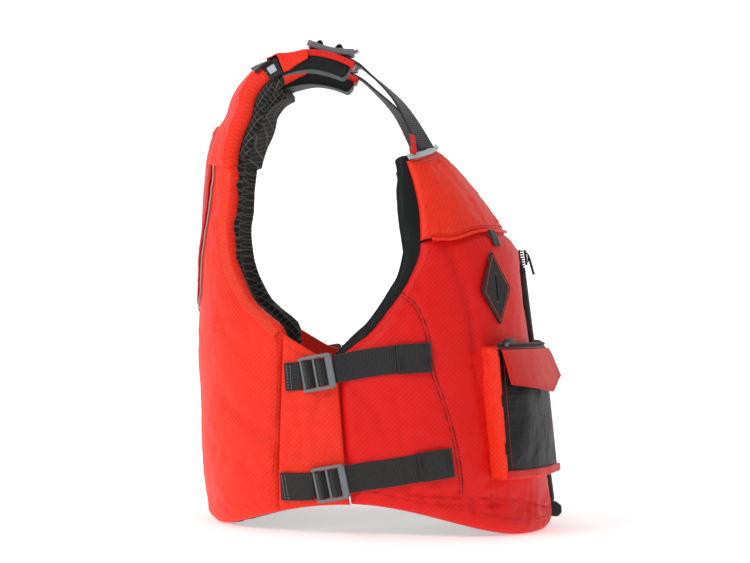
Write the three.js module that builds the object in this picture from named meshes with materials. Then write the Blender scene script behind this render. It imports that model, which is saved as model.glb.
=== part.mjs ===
// A front-zip life jacket: a back and two front halves of foam between cloth and lining,
// padded shoulders, webbing with ladder-lock buckles, a centre zip and two box pockets.
// Millimetres, +Z up. The front faces -Y, the wearer's right is -X, and it stands on its hem.

import * as THREE from 'three';

// ---- Driving sizes -------------------------------------------------------------------

// The body of the jacket.
const CHEST_WIDTH = 380;
const CHEST_DEPTH = 392;
const BODY_HEIGHT = 455;
const HEM_RISE = 32;

// The layers of a panel.
const CLOTH = 1.5;
const FOAM = 24;
const YOKE_FOAM = 10;
const LINING = 1.5;
const PLY_GAP = 0.4;
const SEAM_GAP = 1.2;
const MOUNT_GAP = 1.4;
const HEM_BAND_HEIGHT = 21;

// Webbing and ladder-lock buckles.
const WEBBING_WIDTH = 29;
const WEBBING_THICKNESS = 2;
const BUCKLE_LENGTH = 35;
const BUCKLE_RAIL = 3;
const BUCKLE_FRONT_BAR = 6;
const BUCKLE_THICKNESS = 4.5;
const BUCKLE_CORNER = 3;
const BUCKLE_FIT = 0.6;
const SHOULDER_BUCKLE_LENGTH = 50;

// Shoulders.
const SHOULDER_SPREAD = 98;
const PAD_WIDTH = 62;
const PAD_THICKNESS = 17;
const SLEEVE_CLOTH = 1.6;
const REFLECTIVE_HEIGHT = 6;

// The centre zip.
const ZIP_BOTTOM = 26;
const ZIP_TOP = 282;
const SLIDER_LENGTH = 17;
const CHAIN_HALF = 3.2;
const CHAIN_DEPTH = 4.5;
const TAPE_WIDTH = 14;
const TAPE_THICKNESS = 1.2;
const ZIP_SPLIT = 0.4;
const SLIDER_WALL = 1.8;
const SLIDER_FIT = 0.5;
const PULL_LENGTH = 24;
const PULL_WIDTH = 6;

// Pockets.
const POCKET_DEPTH = 26;
const POCKET_INNER_DEPTH = 16;
const POCKET_BOTTOM = 62;
const POCKET_TOP = 196;
const FLAP_THICKNESS = 2;
const FLAP_DROP = 46;
const FLAP_POINT = 16;
const FLAP_LIFT = 9;
const POCKET_ZIP_HEIGHT = 7;
const POCKET_ZIP_DEPTH = 3.5;
const POCKET_SLIDER_LENGTH = 15;

// The lash tab on the chest.
const TAB_HEIGHT = 78;
const TAB_WIDTH = 50;
const TAB_THICKNESS = 2.5;
const TAB_SLIT = 26;

// ---- The body form -------------------------------------------------------------------

// Each row is a height, the back, the front and the half width of a body of these sizes.
const FORM_WIDTH = 380;
const FORM_DEPTH = 392;
const FORM_HEIGHT = 455;
const FORM = [
  [0, 172, -204, 182],
  [60, 180, -194.7, 188],
  [110, 184, -187, 190],
  [200, 188, -173, 190],
  [270, 189, -162, 186],
  [300, 188, -157.4, 184],
  [326, 187, -142, 181],
  [348, 186, -127, 178],
  [386, 183, -98, 172],
  [410, 179, -75, 167],
  [455, 164, -30, 155],
];
const ROUNDNESS = 2.5;
const DEGREE = Math.PI / 180;

const upScale = BODY_HEIGHT / FORM_HEIGHT;
const wideScale = CHEST_WIDTH / FORM_WIDTH;
const deepScale = CHEST_DEPTH / FORM_DEPTH;

// A smooth value from one column of the form at a height of the form.
function formValue(height, column) {
  const last = FORM.length - 1;
  let i = 0;
  while (i < last - 1 && height > FORM[i + 1][0]) i += 1;
  const slope = (k) => {
    const a = FORM[Math.max(k - 1, 0)];
    const b = FORM[Math.min(k + 1, last)];
    return (b[column] - a[column]) / (b[0] - a[0]);
  };
  const step = FORM[i + 1][0] - FORM[i][0];
  const t = (height - FORM[i][0]) / step;
  const t2 = t * t;
  const t3 = t2 * t;
  const from = FORM[i][column] * (2 * t3 - 3 * t2 + 1) + slope(i) * step * (t3 - 2 * t2 + t);
  const to = FORM[i + 1][column] * (3 * t2 - 2 * t3) + slope(i + 1) * step * (t3 - t2);
  return from + to;
}

// The plan section at a height: its centre in Y and its half depth and half width.
function section(z) {
  const height = THREE.MathUtils.clamp(z / upScale, 0, FORM_HEIGHT);
  const back = formValue(height, 1) * deepScale;
  const front = formValue(height, 2) * deepScale;
  const halfWidth = formValue(height, 3) * wideScale;
  return { centre: (back + front) / 2, halfDepth: (back - front) / 2, halfWidth };
}

// A point on the outside of the body. The angle runs from 0 at the centre front, by 90 at
// the wearer's right, to 180 at the centre back, and the offset is outward.
function skin(angle, z, offset = 0) {
  const { centre, halfDepth, halfWidth } = section(z);
  const s = Math.sin(angle * DEGREE);
  const c = Math.cos(angle * DEGREE);
  const sum = Math.abs(s / halfWidth) ** ROUNDNESS + Math.abs(c / halfDepth) ** ROUNDNESS;
  const r = sum ** (-1 / ROUNDNESS);
  const nx = -Math.sign(s) * Math.abs((r * s) / halfWidth) ** (ROUNDNESS - 1) / halfWidth;
  const ny = -Math.sign(c) * Math.abs((r * c) / halfDepth) ** (ROUNDNESS - 1) / halfDepth;
  const size = Math.hypot(nx, ny);
  return new THREE.Vector3(-r * s + (offset * nx) / size, centre - r * c + (offset * ny) / size, z);
}

// The height of the hem: flat at the front and the back, raised at the sides.
const HEM_FLAT_FRONT = 35;
const HEM_FLAT_BACK = 160;
function hem(angle) {
  const around = angle > 180 ? 360 - angle : angle;
  const share = (around - HEM_FLAT_FRONT) / (HEM_FLAT_BACK - HEM_FLAT_FRONT);
  const arch = Math.sin(Math.PI * THREE.MathUtils.clamp(share, 0, 1));
  return HEM_RISE * arch * arch;
}

// The angle at which the body is a given distance from the centre line at the front.
function besideZip(z, distance) {
  return Math.atan2(distance, section(z).halfDepth) / DEGREE;
}

// ---- Geometry helpers ----------------------------------------------------------------

const MM_PER_DEGREE = 3.2;

// Closed geometry from an outer and an inner grid of points of the same size.
function closedGrid(outer, inner) {
  const rows = outer.length;
  const columns = outer[0].length;
  const positions = [...outer.flat(), ...inner.flat()].flatMap((p) => [p.x, p.y, p.z]);
  const at = (layer, i, j) => layer * rows * columns + i * columns + j;
  const index = [];
  const quad = (a, b, c, d) => index.push(a, b, c, a, c, d);
  for (let i = 0; i < rows - 1; i += 1) {
    for (let j = 0; j < columns - 1; j += 1) {
      quad(at(0, i, j), at(0, i, j + 1), at(0, i + 1, j + 1), at(0, i + 1, j));
      quad(at(1, i, j), at(1, i + 1, j), at(1, i + 1, j + 1), at(1, i, j + 1));
    }
  }
  for (let j = 0; j < columns - 1; j += 1) {
    quad(at(1, 0, j), at(1, 0, j + 1), at(0, 0, j + 1), at(0, 0, j));
    quad(at(0, rows - 1, j), at(0, rows - 1, j + 1), at(1, rows - 1, j + 1), at(1, rows - 1, j));
  }
  for (let i = 0; i < rows - 1; i += 1) {
    const end = columns - 1;
    quad(at(0, i, 0), at(0, i + 1, 0), at(1, i + 1, 0), at(1, i, 0));
    quad(at(1, i, end), at(1, i + 1, end), at(0, i + 1, end), at(0, i, end));
  }
  const geometry = new THREE.BufferGeometry();
  geometry.setAttribute('position', new THREE.Float32BufferAttribute(positions, 3));
  geometry.setIndex(signedVolume(positions, index) < 0 ? flipped(index) : index);
  return geometry;
}

function signedVolume(positions, index) {
  const corner = (k) => new THREE.Vector3().fromArray(positions, index[k] * 3);
  let sum = 0;
  for (let k = 0; k < index.length; k += 3) sum += corner(k).dot(corner(k + 1).cross(corner(k + 2)));
  return sum;
}

function flipped(index) {
  const turned = [...index];
  for (let k = 0; k < turned.length; k += 3) [turned[k], turned[k + 1]] = [turned[k + 1], turned[k]];
  return turned;
}

// A smooth edge through points of angle and height, as a function of its share from 0 to 1.
function edge(points) {
  const curve = new THREE.SplineCurve(points.map(([a, z]) => new THREE.Vector2(a * MM_PER_DEGREE, z)));
  return (t) => {
    const p = curve.getPointAt(t);
    return [p.x / MM_PER_DEGREE, p.y];
  };
}

// An edge at a fixed height above the hem.
function hemEdge(from, to, lift) {
  return (t) => {
    const angle = THREE.MathUtils.lerp(from, to, t);
    return [angle, hem(angle) + lift];
  };
}

// The point of a four-edged patch at u and v. Edges: bottom and top run with u, and
// start and end run with v.
function patchPoint(edges, u, v) {
  const b = edges.bottom(u);
  const t = edges.top(u);
  const s = edges.start(v);
  const e = edges.end(v);
  const corners = [edges.bottom(0), edges.bottom(1), edges.top(0), edges.top(1)];
  return [0, 1].map((k) => {
    const ruled = (1 - v) * b[k] + v * t[k] + (1 - u) * s[k] + u * e[k];
    const low = (1 - u) * corners[0][k] + u * corners[1][k];
    const high = (1 - u) * corners[2][k] + u * corners[3][k];
    return ruled - (1 - v) * low - v * high;
  });
}

// A closed sheet on the body, inside the patch's edges.
function panel(edges, { columns, rows, inner, outer }) {
  const grid = (offset) => {
    const points = [];
    for (let i = 0; i <= rows; i += 1) {
      const row = [];
      for (let j = 0; j <= columns; j += 1) {
        row.push(skin(...patchPoint(edges, j / columns, i / rows), offset));
      }
      points.push(row);
    }
    return points;
  };
  return closedGrid(grid(outer), grid(inner));
}

// A band on the body along a line of angles and heights, as wide as its width.
function band(points, { width, inner, outer, steps }) {
  const curve = new THREE.SplineCurve(points.map(([a, z]) => new THREE.Vector2(a * MM_PER_DEGREE, z)));
  const grid = (offset) => [-0.5, 0.5].map((side) => {
    const row = [];
    for (let i = 0; i <= steps; i += 1) {
      const p = curve.getPointAt(i / steps);
      const along = curve.getTangentAt(i / steps);
      const x = p.x - along.y * side * width;
      const z = p.y + along.x * side * width;
      row.push(skin(x / MM_PER_DEGREE, z, offset));
    }
    return row;
  });
  return closedGrid(grid(outer), grid(inner));
}

// The frame of a flat piece on the body: x runs to the front, y up and z outward.
function onSkin(angle, z, offset, tilt = 0) {
  const small = 0.5;
  const forward = skin(angle - small, z).sub(skin(angle + small, z)).normalize();
  const rise = skin(angle, z + small).sub(skin(angle, z - small)).normalize();
  const out = forward.clone().cross(rise).normalize();
  const up = out.clone().cross(forward);
  const matrix = new THREE.Matrix4().makeBasis(forward, up, out);
  matrix.setPosition(skin(angle, z).addScaledVector(out, offset));
  return matrix.multiply(new THREE.Matrix4().makeRotationZ(tilt * DEGREE));
}

function extruded(shape, depth) {
  return new THREE.ExtrudeGeometry(shape, { depth, bevelEnabled: false, curveSegments: 4 });
}

// The outline of a rectangle with cut corners, counter-clockwise, about a centre.
function cutCorners(path, x0, y0, x1, y1, cut) {
  path.moveTo(x0 + cut, y0);
  path.lineTo(x1 - cut, y0);
  path.lineTo(x1, y0 + cut);
  path.lineTo(x1, y1 - cut);
  path.lineTo(x1 - cut, y1);
  path.lineTo(x0 + cut, y1);
  path.lineTo(x0, y1 - cut);
  path.lineTo(x0, y0 + cut);
  return path;
}

function rectangleHole(x0, y0, x1, y1) {
  const hole = new THREE.Path();
  hole.moveTo(x0, y0);
  hole.lineTo(x0, y1);
  hole.lineTo(x1, y1);
  hole.lineTo(x1, y0);
  return hole;
}

// ---- Finishes ------------------------------------------------------------------------

const finish = {
  shell: { color: 0xf23c22, roughness: 0.62, metalness: 0 },
  flap: { color: 0xd82c26, roughness: 0.62, metalness: 0 },
  foam: { color: 0xd9d9d2, roughness: 0.9, metalness: 0 },
  satin: { color: 0x2d302f, roughness: 0.45, metalness: 0 },
  mesh: { color: 0x3a3a36, roughness: 0.9, metalness: 0 },
  webbing: { color: 0x1c1b1a, roughness: 0.75, metalness: 0 },
  plastic: { color: 0x70747a, roughness: 0.4, metalness: 0 },
  zip: { color: 0x161616, roughness: 0.5, metalness: 0 },
  reflective: { color: 0xc3cdd0, roughness: 0.35, metalness: 0.1 },
  pocket: { color: 0x1c1a1a, roughness: 0.8, metalness: 0 },
  tab: { color: 0x302d2e, roughness: 0.6, metalness: 0 },
};

const jacket = new THREE.Group();

function add(name, geometry, look) {
  const mesh = new THREE.Mesh(geometry, new THREE.MeshStandardMaterial(finish[look]));
  mesh.name = name;
  jacket.add(mesh);
}

// The same geometry on the wearer's left.
function mirrored(geometry) {
  const copy = geometry.clone();
  copy.scale(-1, 1, 1);
  const count = copy.getAttribute('position').count;
  const index = copy.index ? Array.from(copy.index.array) : [...Array(count).keys()];
  copy.setIndex(flipped(index));
  return copy;
}

// Adds a piece of the right side, and its copy on the left.
function addPair(name, geometry, look) {
  add(`right_${name}`, geometry, look);
  add(`left_${name}`, mirrored(geometry), look);
}

// ---- Layers, outward from the body ---------------------------------------------------

const cloth = { inner: -CLOTH, outer: 0 };
const foam = { inner: -CLOTH - PLY_GAP - FOAM, outer: -CLOTH - PLY_GAP };
const lining = { inner: foam.inner - PLY_GAP - LINING, outer: foam.inner - PLY_GAP };
const thinPad = { inner: -CLOTH - PLY_GAP - YOKE_FOAM, outer: -CLOTH - PLY_GAP };
const onTop = (thickness, lift = MOUNT_GAP) => ({ inner: lift, outer: lift + thickness });

// ---- Back ----------------------------------------------------------------------------

// Shares of the body height at which the outlines turn.
const z = (height) => height * upScale;
const SIDE_SEAM_LOW = 121.5;
const SIDE_SEAM_HIGH = 114.6;
const FRONT_EDGE = 97.5;

const backArmhole = [
  [SIDE_SEAM_LOW, hem(SIDE_SEAM_LOW) + HEM_BAND_HEIGHT + SEAM_GAP],
  [118.5, z(90)],
  [115.6, z(170)],
  [SIDE_SEAM_HIGH, z(207)],
  [121.4, z(226)],
  [126.9, z(239)],
  [133.8, z(268)],
  [137.9, z(294)],
  [138.9, z(317)],
  [136.4, z(337)],
  [134.7, z(364)],
  [131.7, z(396)],
  [130.5, z(428)],
];
const neckBack = [[130.5, z(428)], [143, z(433)], [157, z(432)], [167, z(424)], [180, z(420)]];
const acrossBack = (points) => points.map(([angle, height]) => [360 - angle, height]);

const backEdges = {
  bottom: hemEdge(SIDE_SEAM_LOW, 360 - SIDE_SEAM_LOW, HEM_BAND_HEIGHT + SEAM_GAP),
  top: edge([...neckBack, ...acrossBack(neckBack.slice(0, -1)).reverse()]),
  start: edge(backArmhole),
  end: edge(acrossBack(backArmhole)),
};
const BACK_GRID = { columns: 18, rows: 11 };

function buildBack() {
  add('back_shell', panel(backEdges, { ...BACK_GRID, ...cloth }), 'shell');
  add('back_foam', panel(backEdges, { ...BACK_GRID, ...foam }), 'foam');
  add('back_mesh_lining', panel(backEdges, { ...BACK_GRID, ...lining }), 'mesh');
  const hemEdges = {
    bottom: hemEdge(SIDE_SEAM_LOW, 360 - SIDE_SEAM_LOW, 0),
    top: hemEdge(SIDE_SEAM_LOW, 360 - SIDE_SEAM_LOW, HEM_BAND_HEIGHT),
    start: edge([[SIDE_SEAM_LOW, hem(SIDE_SEAM_LOW)], [SIDE_SEAM_LOW, hem(SIDE_SEAM_LOW) + HEM_BAND_HEIGHT]]),
    end: edge([
      [360 - SIDE_SEAM_LOW, hem(SIDE_SEAM_LOW)],
      [360 - SIDE_SEAM_LOW, hem(SIDE_SEAM_LOW) + HEM_BAND_HEIGHT],
    ]),
  };
  const hemLayer = { inner: lining.inner, outer: cloth.outer };
  add('back_hem_band', panel(hemEdges, { columns: 18, rows: 1, ...hemLayer }), 'shell');
}

// The yoke flap over the back, and the reflective piping round it.
const yokeSide = [[142, z(422)], [144.5, z(400)], [150, z(350)], [154.6, z(313)], [160, z(255)]];
const yokeFoot = [[160, z(255)], [167, z(236)], [180, z(229)]];

function buildBackYoke() {
  const edges = {
    bottom: edge([...yokeFoot, ...acrossBack(yokeFoot.slice(0, -1)).reverse()]),
    top: edge([[142, z(422)], [157, z(424)], [180, z(412)], [203, z(424)], [218, z(422)]]),
    start: edge([...yokeSide].reverse()),
    end: edge(acrossBack([...yokeSide].reverse())),
  };
  add('back_yoke_flap', panel(edges, { columns: 10, rows: 6, ...onTop(CLOTH) }), 'flap');
  const pipingWidth = 4;
  const away = 1.4;
  const route = [[140.6, z(414)], [142.7, z(398)], [148.2, z(349)], [152.8, z(312)], [158.2, z(253)],
    [165.8, z(231.5)], [180, z(224)]].map(([angle, height]) => [angle, height - away]);
  const whole = [...route, ...acrossBack(route.slice(0, -1)).reverse()];
  const piping = band(whole, { width: pipingWidth, steps: 30, ...onTop(CLOTH) });
  add('back_reflective_piping', piping, 'reflective');
}

// ---- Sides ---------------------------------------------------------------------------

function buildSidePanels() {
  const gap = SEAM_GAP / MM_PER_DEGREE;
  const from = FRONT_EDGE + gap;
  const seamGap = gap * 2.5;
  const to = SIDE_SEAM_HIGH - seamGap;
  const toLow = SIDE_SEAM_LOW - seamGap;
  const edges = {
    bottom: hemEdge(from, toLow, 0),
    top: edge([[from, z(183)], [103, z(185)], [109, z(196)], [to, z(206)]]),
    start: edge([[from, hem(from)], [from, z(183)]]),
    end: edge([[toLow, hem(toLow)], [118.5 - seamGap, z(90)], [115.6 - seamGap, z(170)], [to, z(206)]]),
  };
  const sidePad = 5;
  addPair('side_panel', panel(edges, { columns: 4, rows: 6, inner: -sidePad, outer: 0 }), 'shell');
}

// ---- Front halves --------------------------------------------------------------------

const FRONT_GRID = { columns: 13, rows: 8 };
const ZIP_EDGE = TAPE_WIDTH + ZIP_SPLIT + SEAM_GAP;
const zipAngle = (height) => besideZip(height, ZIP_EDGE);
const NECK_CORNER = z(303);

const frontArmhole = [[FRONT_EDGE, z(184)], [92.5, z(196)], [86.3, z(212)], [78.6, z(242)], [73.4, z(265)],
  [69.8, z(289)], [68.4, z(303)]];
const yokeSeam = [[68.4, z(305)], [64.8, z(308)], [57.4, z(309)], [52, z(313)], [45, z(318)], [32, z(320)],
  [14, z(320)]];
const lowerYokeSeam = yokeSeam.map(([angle, height]) => [angle, height - SEAM_GAP]);

function buildFrontBody() {
  const low = HEM_BAND_HEIGHT + SEAM_GAP;
  const zipLow = zipAngle(low);
  const edges = {
    bottom: hemEdge(FRONT_EDGE, zipLow, low),
    top: edge([...frontArmhole.slice(0, -1), ...lowerYokeSeam, [zipAngle(NECK_CORNER), NECK_CORNER]]),
    start: edge([[FRONT_EDGE, hem(FRONT_EDGE) + low], [FRONT_EDGE, z(184)]]),
    end: (t) => {
      const height = THREE.MathUtils.lerp(low, NECK_CORNER, t);
      return [zipAngle(height), height];
    },
  };
  addPair('front_shell', panel(edges, { ...FRONT_GRID, ...cloth }), 'shell');
  addPair('front_foam', panel(edges, { ...FRONT_GRID, ...foam }), 'foam');
  addPair('front_lining', panel(edges, { ...FRONT_GRID, ...lining }), 'satin');
  const hemEdges = {
    bottom: hemEdge(FRONT_EDGE, zipLow, 0),
    top: hemEdge(FRONT_EDGE, zipLow, HEM_BAND_HEIGHT),
    start: edge([[FRONT_EDGE, hem(FRONT_EDGE)], [FRONT_EDGE, hem(FRONT_EDGE) + HEM_BAND_HEIGHT]]),
    end: edge([[zipLow, 0], [zipLow, HEM_BAND_HEIGHT]]),
  };
  const hemLayer = { inner: lining.inner, outer: cloth.outer };
  addPair('front_hem_band', panel(hemEdges, { columns: 13, rows: 1, ...hemLayer }), 'shell');
}

// The yoke over the chest, from the seam up to the reflective band.
const YOKE_TOP_OUT = [61.8, z(388)];
const YOKE_TOP_IN = [38, z(403)];
const topLine = (lift) => edge([
  [YOKE_TOP_OUT[0], YOKE_TOP_OUT[1] + lift],
  [YOKE_TOP_IN[0], YOKE_TOP_IN[1] + lift],
]);

function buildYoke() {
  const edges = {
    bottom: edge(yokeSeam),
    top: topLine(0),
    start: edge([yokeSeam[0], [64.9, z(339)], [63, z(365)], YOKE_TOP_OUT]),
    end: edge([yokeSeam[yokeSeam.length - 1], [20, z(345)], [28, z(378)], YOKE_TOP_IN]),
  };
  addPair('front_yoke', panel(edges, { columns: 8, rows: 6, ...cloth }), 'shell');
  addPair('yoke_pad', panel(edges, { columns: 8, rows: 6, ...thinPad }), 'foam');
  const bandEdges = {
    bottom: topLine(SEAM_GAP),
    top: topLine(SEAM_GAP + REFLECTIVE_HEIGHT),
    start: edge([
      [YOKE_TOP_OUT[0], YOKE_TOP_OUT[1] + SEAM_GAP],
      [YOKE_TOP_OUT[0], YOKE_TOP_OUT[1] + SEAM_GAP + REFLECTIVE_HEIGHT],
    ]),
    end: edge([
      [YOKE_TOP_IN[0], YOKE_TOP_IN[1] + SEAM_GAP],
      [YOKE_TOP_IN[0], YOKE_TOP_IN[1] + SEAM_GAP + REFLECTIVE_HEIGHT],
    ]),
  };
  const layer = { inner: thinPad.inner, outer: cloth.outer };
  addPair('reflective_band', panel(bandEdges, { columns: 4, rows: 1, ...layer }), 'reflective');
}

// ---- Shoulders -----------------------------------------------------------------------

// The line over the wearer's right shoulder, on top of the pad, from the back to the front.
const shoulderLine = new THREE.CatmullRomCurve3([
  [151, 438], [146, 458], [131, 479], [113, 491], [92, 498], [70, 501], [44, 497], [21, 488],
  [6, 478], [-8, 464],
].map(([y, height]) => new THREE.Vector3(-SHOULDER_SPREAD * wideScale, y * deepScale, z(height))));
const PAD_END = 0.795;

// A strap along part of a line: its width runs along X turned by a plan angle.
function strapOn(curve, { from, to, steps, width, below, above, turnFrom = 0, turnTo = 0 }) {
  const layer = (lift) => [-0.5, 0.5].map((side) => {
    const row = [];
    for (let i = 0; i <= steps; i += 1) {
      const share = i / steps;
      const t = from + (to - from) * share;
      const turn = THREE.MathUtils.lerp(turnFrom, turnTo, share) * DEGREE;
      const across = new THREE.Vector3(Math.cos(turn), Math.sin(turn), 0);
      const along = curve.getTangentAt(t);
      const out = across.clone().cross(along).normalize();
      if (out.z < 0) out.negate();
      row.push(curve.getPointAt(t).addScaledVector(across, side * width).addScaledVector(out, lift));
    }
    return row;
  });
  return closedGrid(layer(above), layer(below));
}

const SLEEVE_FROM = 0.36;
const SLEEVE_TO = 0.53;
const SLEEVE_EASE = 4;
const SLEEVE_TURN = 13.4;

function buildShoulders() {
  const pad = { from: 0.01, to: PAD_END, steps: 14, width: PAD_WIDTH, turnFrom: 24, turnTo: 0 };
  addPair('shoulder_pad', strapOn(shoulderLine, { ...pad, below: -PAD_THICKNESS, above: 0 }), 'shell');
  const under = -PAD_THICKNESS - PLY_GAP;
  const padLining = { ...pad, from: SLEEVE_FROM, steps: 8, turnFrom: SLEEVE_TURN };
  const liningLayer = { below: under - LINING, above: under };
  addPair('pad_lining', strapOn(shoulderLine, { ...padLining, ...liningLayer }), 'satin');
  const sleeveLayer = { below: PLY_GAP, above: PLY_GAP + SLEEVE_CLOTH, turnFrom: SLEEVE_TURN, turnTo: 8 };
  const sleeve = { from: SLEEVE_FROM, to: SLEEVE_TO, steps: 4, width: PAD_WIDTH + SLEEVE_EASE };
  addPair('strap_sleeve', strapOn(shoulderLine, { ...sleeve, ...sleeveLayer }), 'shell');
}

// ---- Webbing and buckles -------------------------------------------------------------

// A ladder lock from above: two windows between three bars. x runs along the webbing.
function ladderLock(length) {
  const half = WEBBING_WIDTH / 2 + BUCKLE_FIT;
  const outer = half + BUCKLE_RAIL;
  const shape = cutCorners(new THREE.Shape(), 0, -outer, length, outer, BUCKLE_CORNER);
  const inside = length - BUCKLE_RAIL - BUCKLE_FRONT_BAR;
  const window = (inside - BUCKLE_RAIL) / 2;
  shape.holes.push(rectangleHole(BUCKLE_RAIL, -half, BUCKLE_RAIL + window, half));
  const second = BUCKLE_RAIL * 2 + window;
  const narrower = half - 0.2;
  shape.holes.push(rectangleHole(second, -narrower, second + window, narrower));
  return extruded(shape, BUCKLE_THICKNESS);
}

// One side strap: the anchor from the side seam, the buckle and the strap on the front.
function buildSideStrap(level, { anchor, buckleAt, tilt, route }) {
  const layer = onTop(WEBBING_THICKNESS);
  const tail = band(anchor, { width: WEBBING_WIDTH, steps: 3, ...layer });
  addPair(`${level}_anchor`, tail, 'webbing');
  const strap = band(route, { width: WEBBING_WIDTH, steps: 8, ...layer });
  addPair(`${level}_strap`, strap, 'webbing');
  const place = onSkin(...buckleAt, MOUNT_GAP, tilt);
  addPair(`${level}_buckle`, ladderLock(BUCKLE_LENGTH).applyMatrix4(place), 'plastic');
}

const upperStrap = {
  anchor: [[115.8, z(161)], [112.5, z(162)], [109.7, z(163)]],
  buckleAt: [108.7, z(163.5)],
  tilt: 12,
  route: [[96.2, z(173)], [88, z(178.5)], [79, z(183)], [69.4, z(185.7)]],
};
const lowerStrap = {
  anchor: [[119.8, z(48.5)], [115, z(49)], [109.5, z(50)]],
  buckleAt: [107.8, z(51)],
  tilt: 12,
  route: [[95.6, z(60)], [89, z(64)], [82.4, z(67.5)], [73, z(74)], [65.5, z(78.5)]],
};

function buildShoulderBuckle() {
  const share = SLEEVE_TO + 0.01;
  const at = shoulderLine.getPointAt(share);
  const along = shoulderLine.getTangentAt(share + 0.1);
  const across = new THREE.Vector3(0, 0, 1).cross(along).normalize();
  const out = along.clone().cross(across).normalize();
  const lift = PLY_GAP + SLEEVE_CLOTH + MOUNT_GAP;
  const place = new THREE.Matrix4().makeBasis(along, across, out);
  place.setPosition(at.addScaledVector(out, lift));
  addPair('shoulder_buckle', ladderLock(SHOULDER_BUCKLE_LENGTH).applyMatrix4(place), 'plastic');
}

// The webbing from the shoulder down to the reflective band on the yoke.
function buildShoulderWebbing() {
  const foot = skin(50.5, (YOKE_TOP_OUT[1] + YOKE_TOP_IN[1]) / 2 + REFLECTIVE_HEIGHT + SEAM_GAP * 2, 0);
  const start = shoulderLine.getPointAt(0.93);
  const bend = start.clone().lerp(foot, 0.5).add(new THREE.Vector3(0, 1.5, 4));
  const route = new THREE.CatmullRomCurve3([start, bend, foot]);
  const strap = { from: 0, to: 0.955, steps: 7, width: WEBBING_WIDTH, turnFrom: 0, turnTo: -22 };
  const layer = { below: -WEBBING_THICKNESS, above: 0 };
  addPair('shoulder_webbing', strapOn(route, { ...strap, ...layer }), 'webbing');
}

// ---- Centre zip ----------------------------------------------------------------------

// The zip runs straight up the centre front.
const zipFoot = skin(0, ZIP_BOTTOM);
const zipHead = skin(0, z(ZIP_TOP));
const zipUp = zipHead.clone().sub(zipFoot).normalize();
const zipOut = new THREE.Vector3(1, 0, 0).cross(zipUp);
const zipLength = zipHead.distanceTo(zipFoot);

// An outline of points to the wearer's left and outward, extruded along the zip.
function alongZip(points, from, length) {
  const shape = new THREE.Shape(points.map(([left, out]) => new THREE.Vector2(-left, out)));
  const matrix = new THREE.Matrix4().makeBasis(new THREE.Vector3(-1, 0, 0), zipOut, zipUp);
  matrix.setPosition(zipFoot.clone().addScaledVector(zipUp, from));
  return extruded(shape, length).applyMatrix4(matrix);
}

function buildZip() {
  const tapeOut = 0;
  const tapeIn = tapeOut - TAPE_THICKNESS;
  const half = (sign) => [
    [sign * ZIP_SPLIT, tapeIn],
    [sign * (ZIP_SPLIT + TAPE_WIDTH), tapeIn],
    [sign * (ZIP_SPLIT + TAPE_WIDTH), tapeOut],
    [sign * (ZIP_SPLIT + CHAIN_HALF), tapeOut],
    [sign * (ZIP_SPLIT + CHAIN_HALF), tapeOut + CHAIN_DEPTH],
    [sign * ZIP_SPLIT, tapeOut + CHAIN_DEPTH],
  ];
  const extra = SLIDER_LENGTH + SLIDER_FIT * 4;
  add('right_zip_half', alongZip(half(-1), 0, zipLength), 'zip');
  add('left_zip_half', alongZip(half(1), 0, zipLength + extra), 'zip');

  const inside = ZIP_SPLIT + CHAIN_HALF + SLIDER_FIT;
  const outside = inside + SLIDER_WALL;
  const low = tapeOut + SLIDER_FIT;
  const roof = tapeOut + CHAIN_DEPTH + SLIDER_FIT;
  const channel = [
    [-outside, low],
    [-inside, low],
    [-inside, roof],
    [inside, roof],
    [inside, low],
    [outside, low],
    [outside, roof + SLIDER_WALL],
    [-outside, roof + SLIDER_WALL],
  ];
  const restAt = zipLength + SLIDER_FIT * 2;
  add('zip_slider', alongZip(channel, restAt, SLIDER_LENGTH), 'zip');

  const pullOut = roof + SLIDER_WALL + SLIDER_FIT * 2;
  const pullHalf = PULL_WIDTH / 2;
  const pull = [
    [-pullHalf, pullOut],
    [pullHalf, pullOut],
    [pullHalf, pullOut + SLIDER_WALL],
    [-pullHalf, pullOut + SLIDER_WALL],
  ];
  add('zip_pull', alongZip(pull, restAt + SLIDER_LENGTH * 0.7 - PULL_LENGTH, PULL_LENGTH), 'zip');

  const footDepth = CHAIN_DEPTH + 3;
  const footWidth = ZIP_SPLIT + TAPE_WIDTH;
  const footHeight = 15;
  const foot = [
    [ZIP_SPLIT, 0],
    [footWidth, 0],
    [footWidth, footDepth - 4],
    [footWidth - 5, footDepth],
    [ZIP_SPLIT, footDepth],
  ];
  add('zip_foot_tab', alongZip(foot, -footHeight - SEAM_GAP, footHeight), 'zip');
}

// ---- Pockets -------------------------------------------------------------------------

// The pocket face is flat. Its frame: x along the top edge to the front, y up, z outward.
const POCKET_BACK = 53.6;
const POCKET_FACE_BACK = 50;
const POCKET_FRONT = 9;
const faceCorner = (angle, height, depth) => skin(angle, height, depth + MOUNT_GAP);
const faceTopBack = faceCorner(POCKET_FACE_BACK, z(POCKET_TOP), POCKET_DEPTH);
const faceTopFront = faceCorner(POCKET_FRONT, z(POCKET_TOP), POCKET_INNER_DEPTH);
const faceLowBack = faceCorner(POCKET_FACE_BACK, z(POCKET_BOTTOM), POCKET_DEPTH);
const faceLowFront = faceCorner(POCKET_FRONT, z(POCKET_BOTTOM), POCKET_INNER_DEPTH);
const pocketAlong = faceTopFront.clone().sub(faceTopBack).normalize();
const pocketUp = faceTopBack.clone().sub(faceLowBack).normalize();
const pocketOut = pocketAlong.clone().cross(pocketUp).normalize();
const pocketWidth = faceTopBack.distanceTo(faceTopFront);

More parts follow.
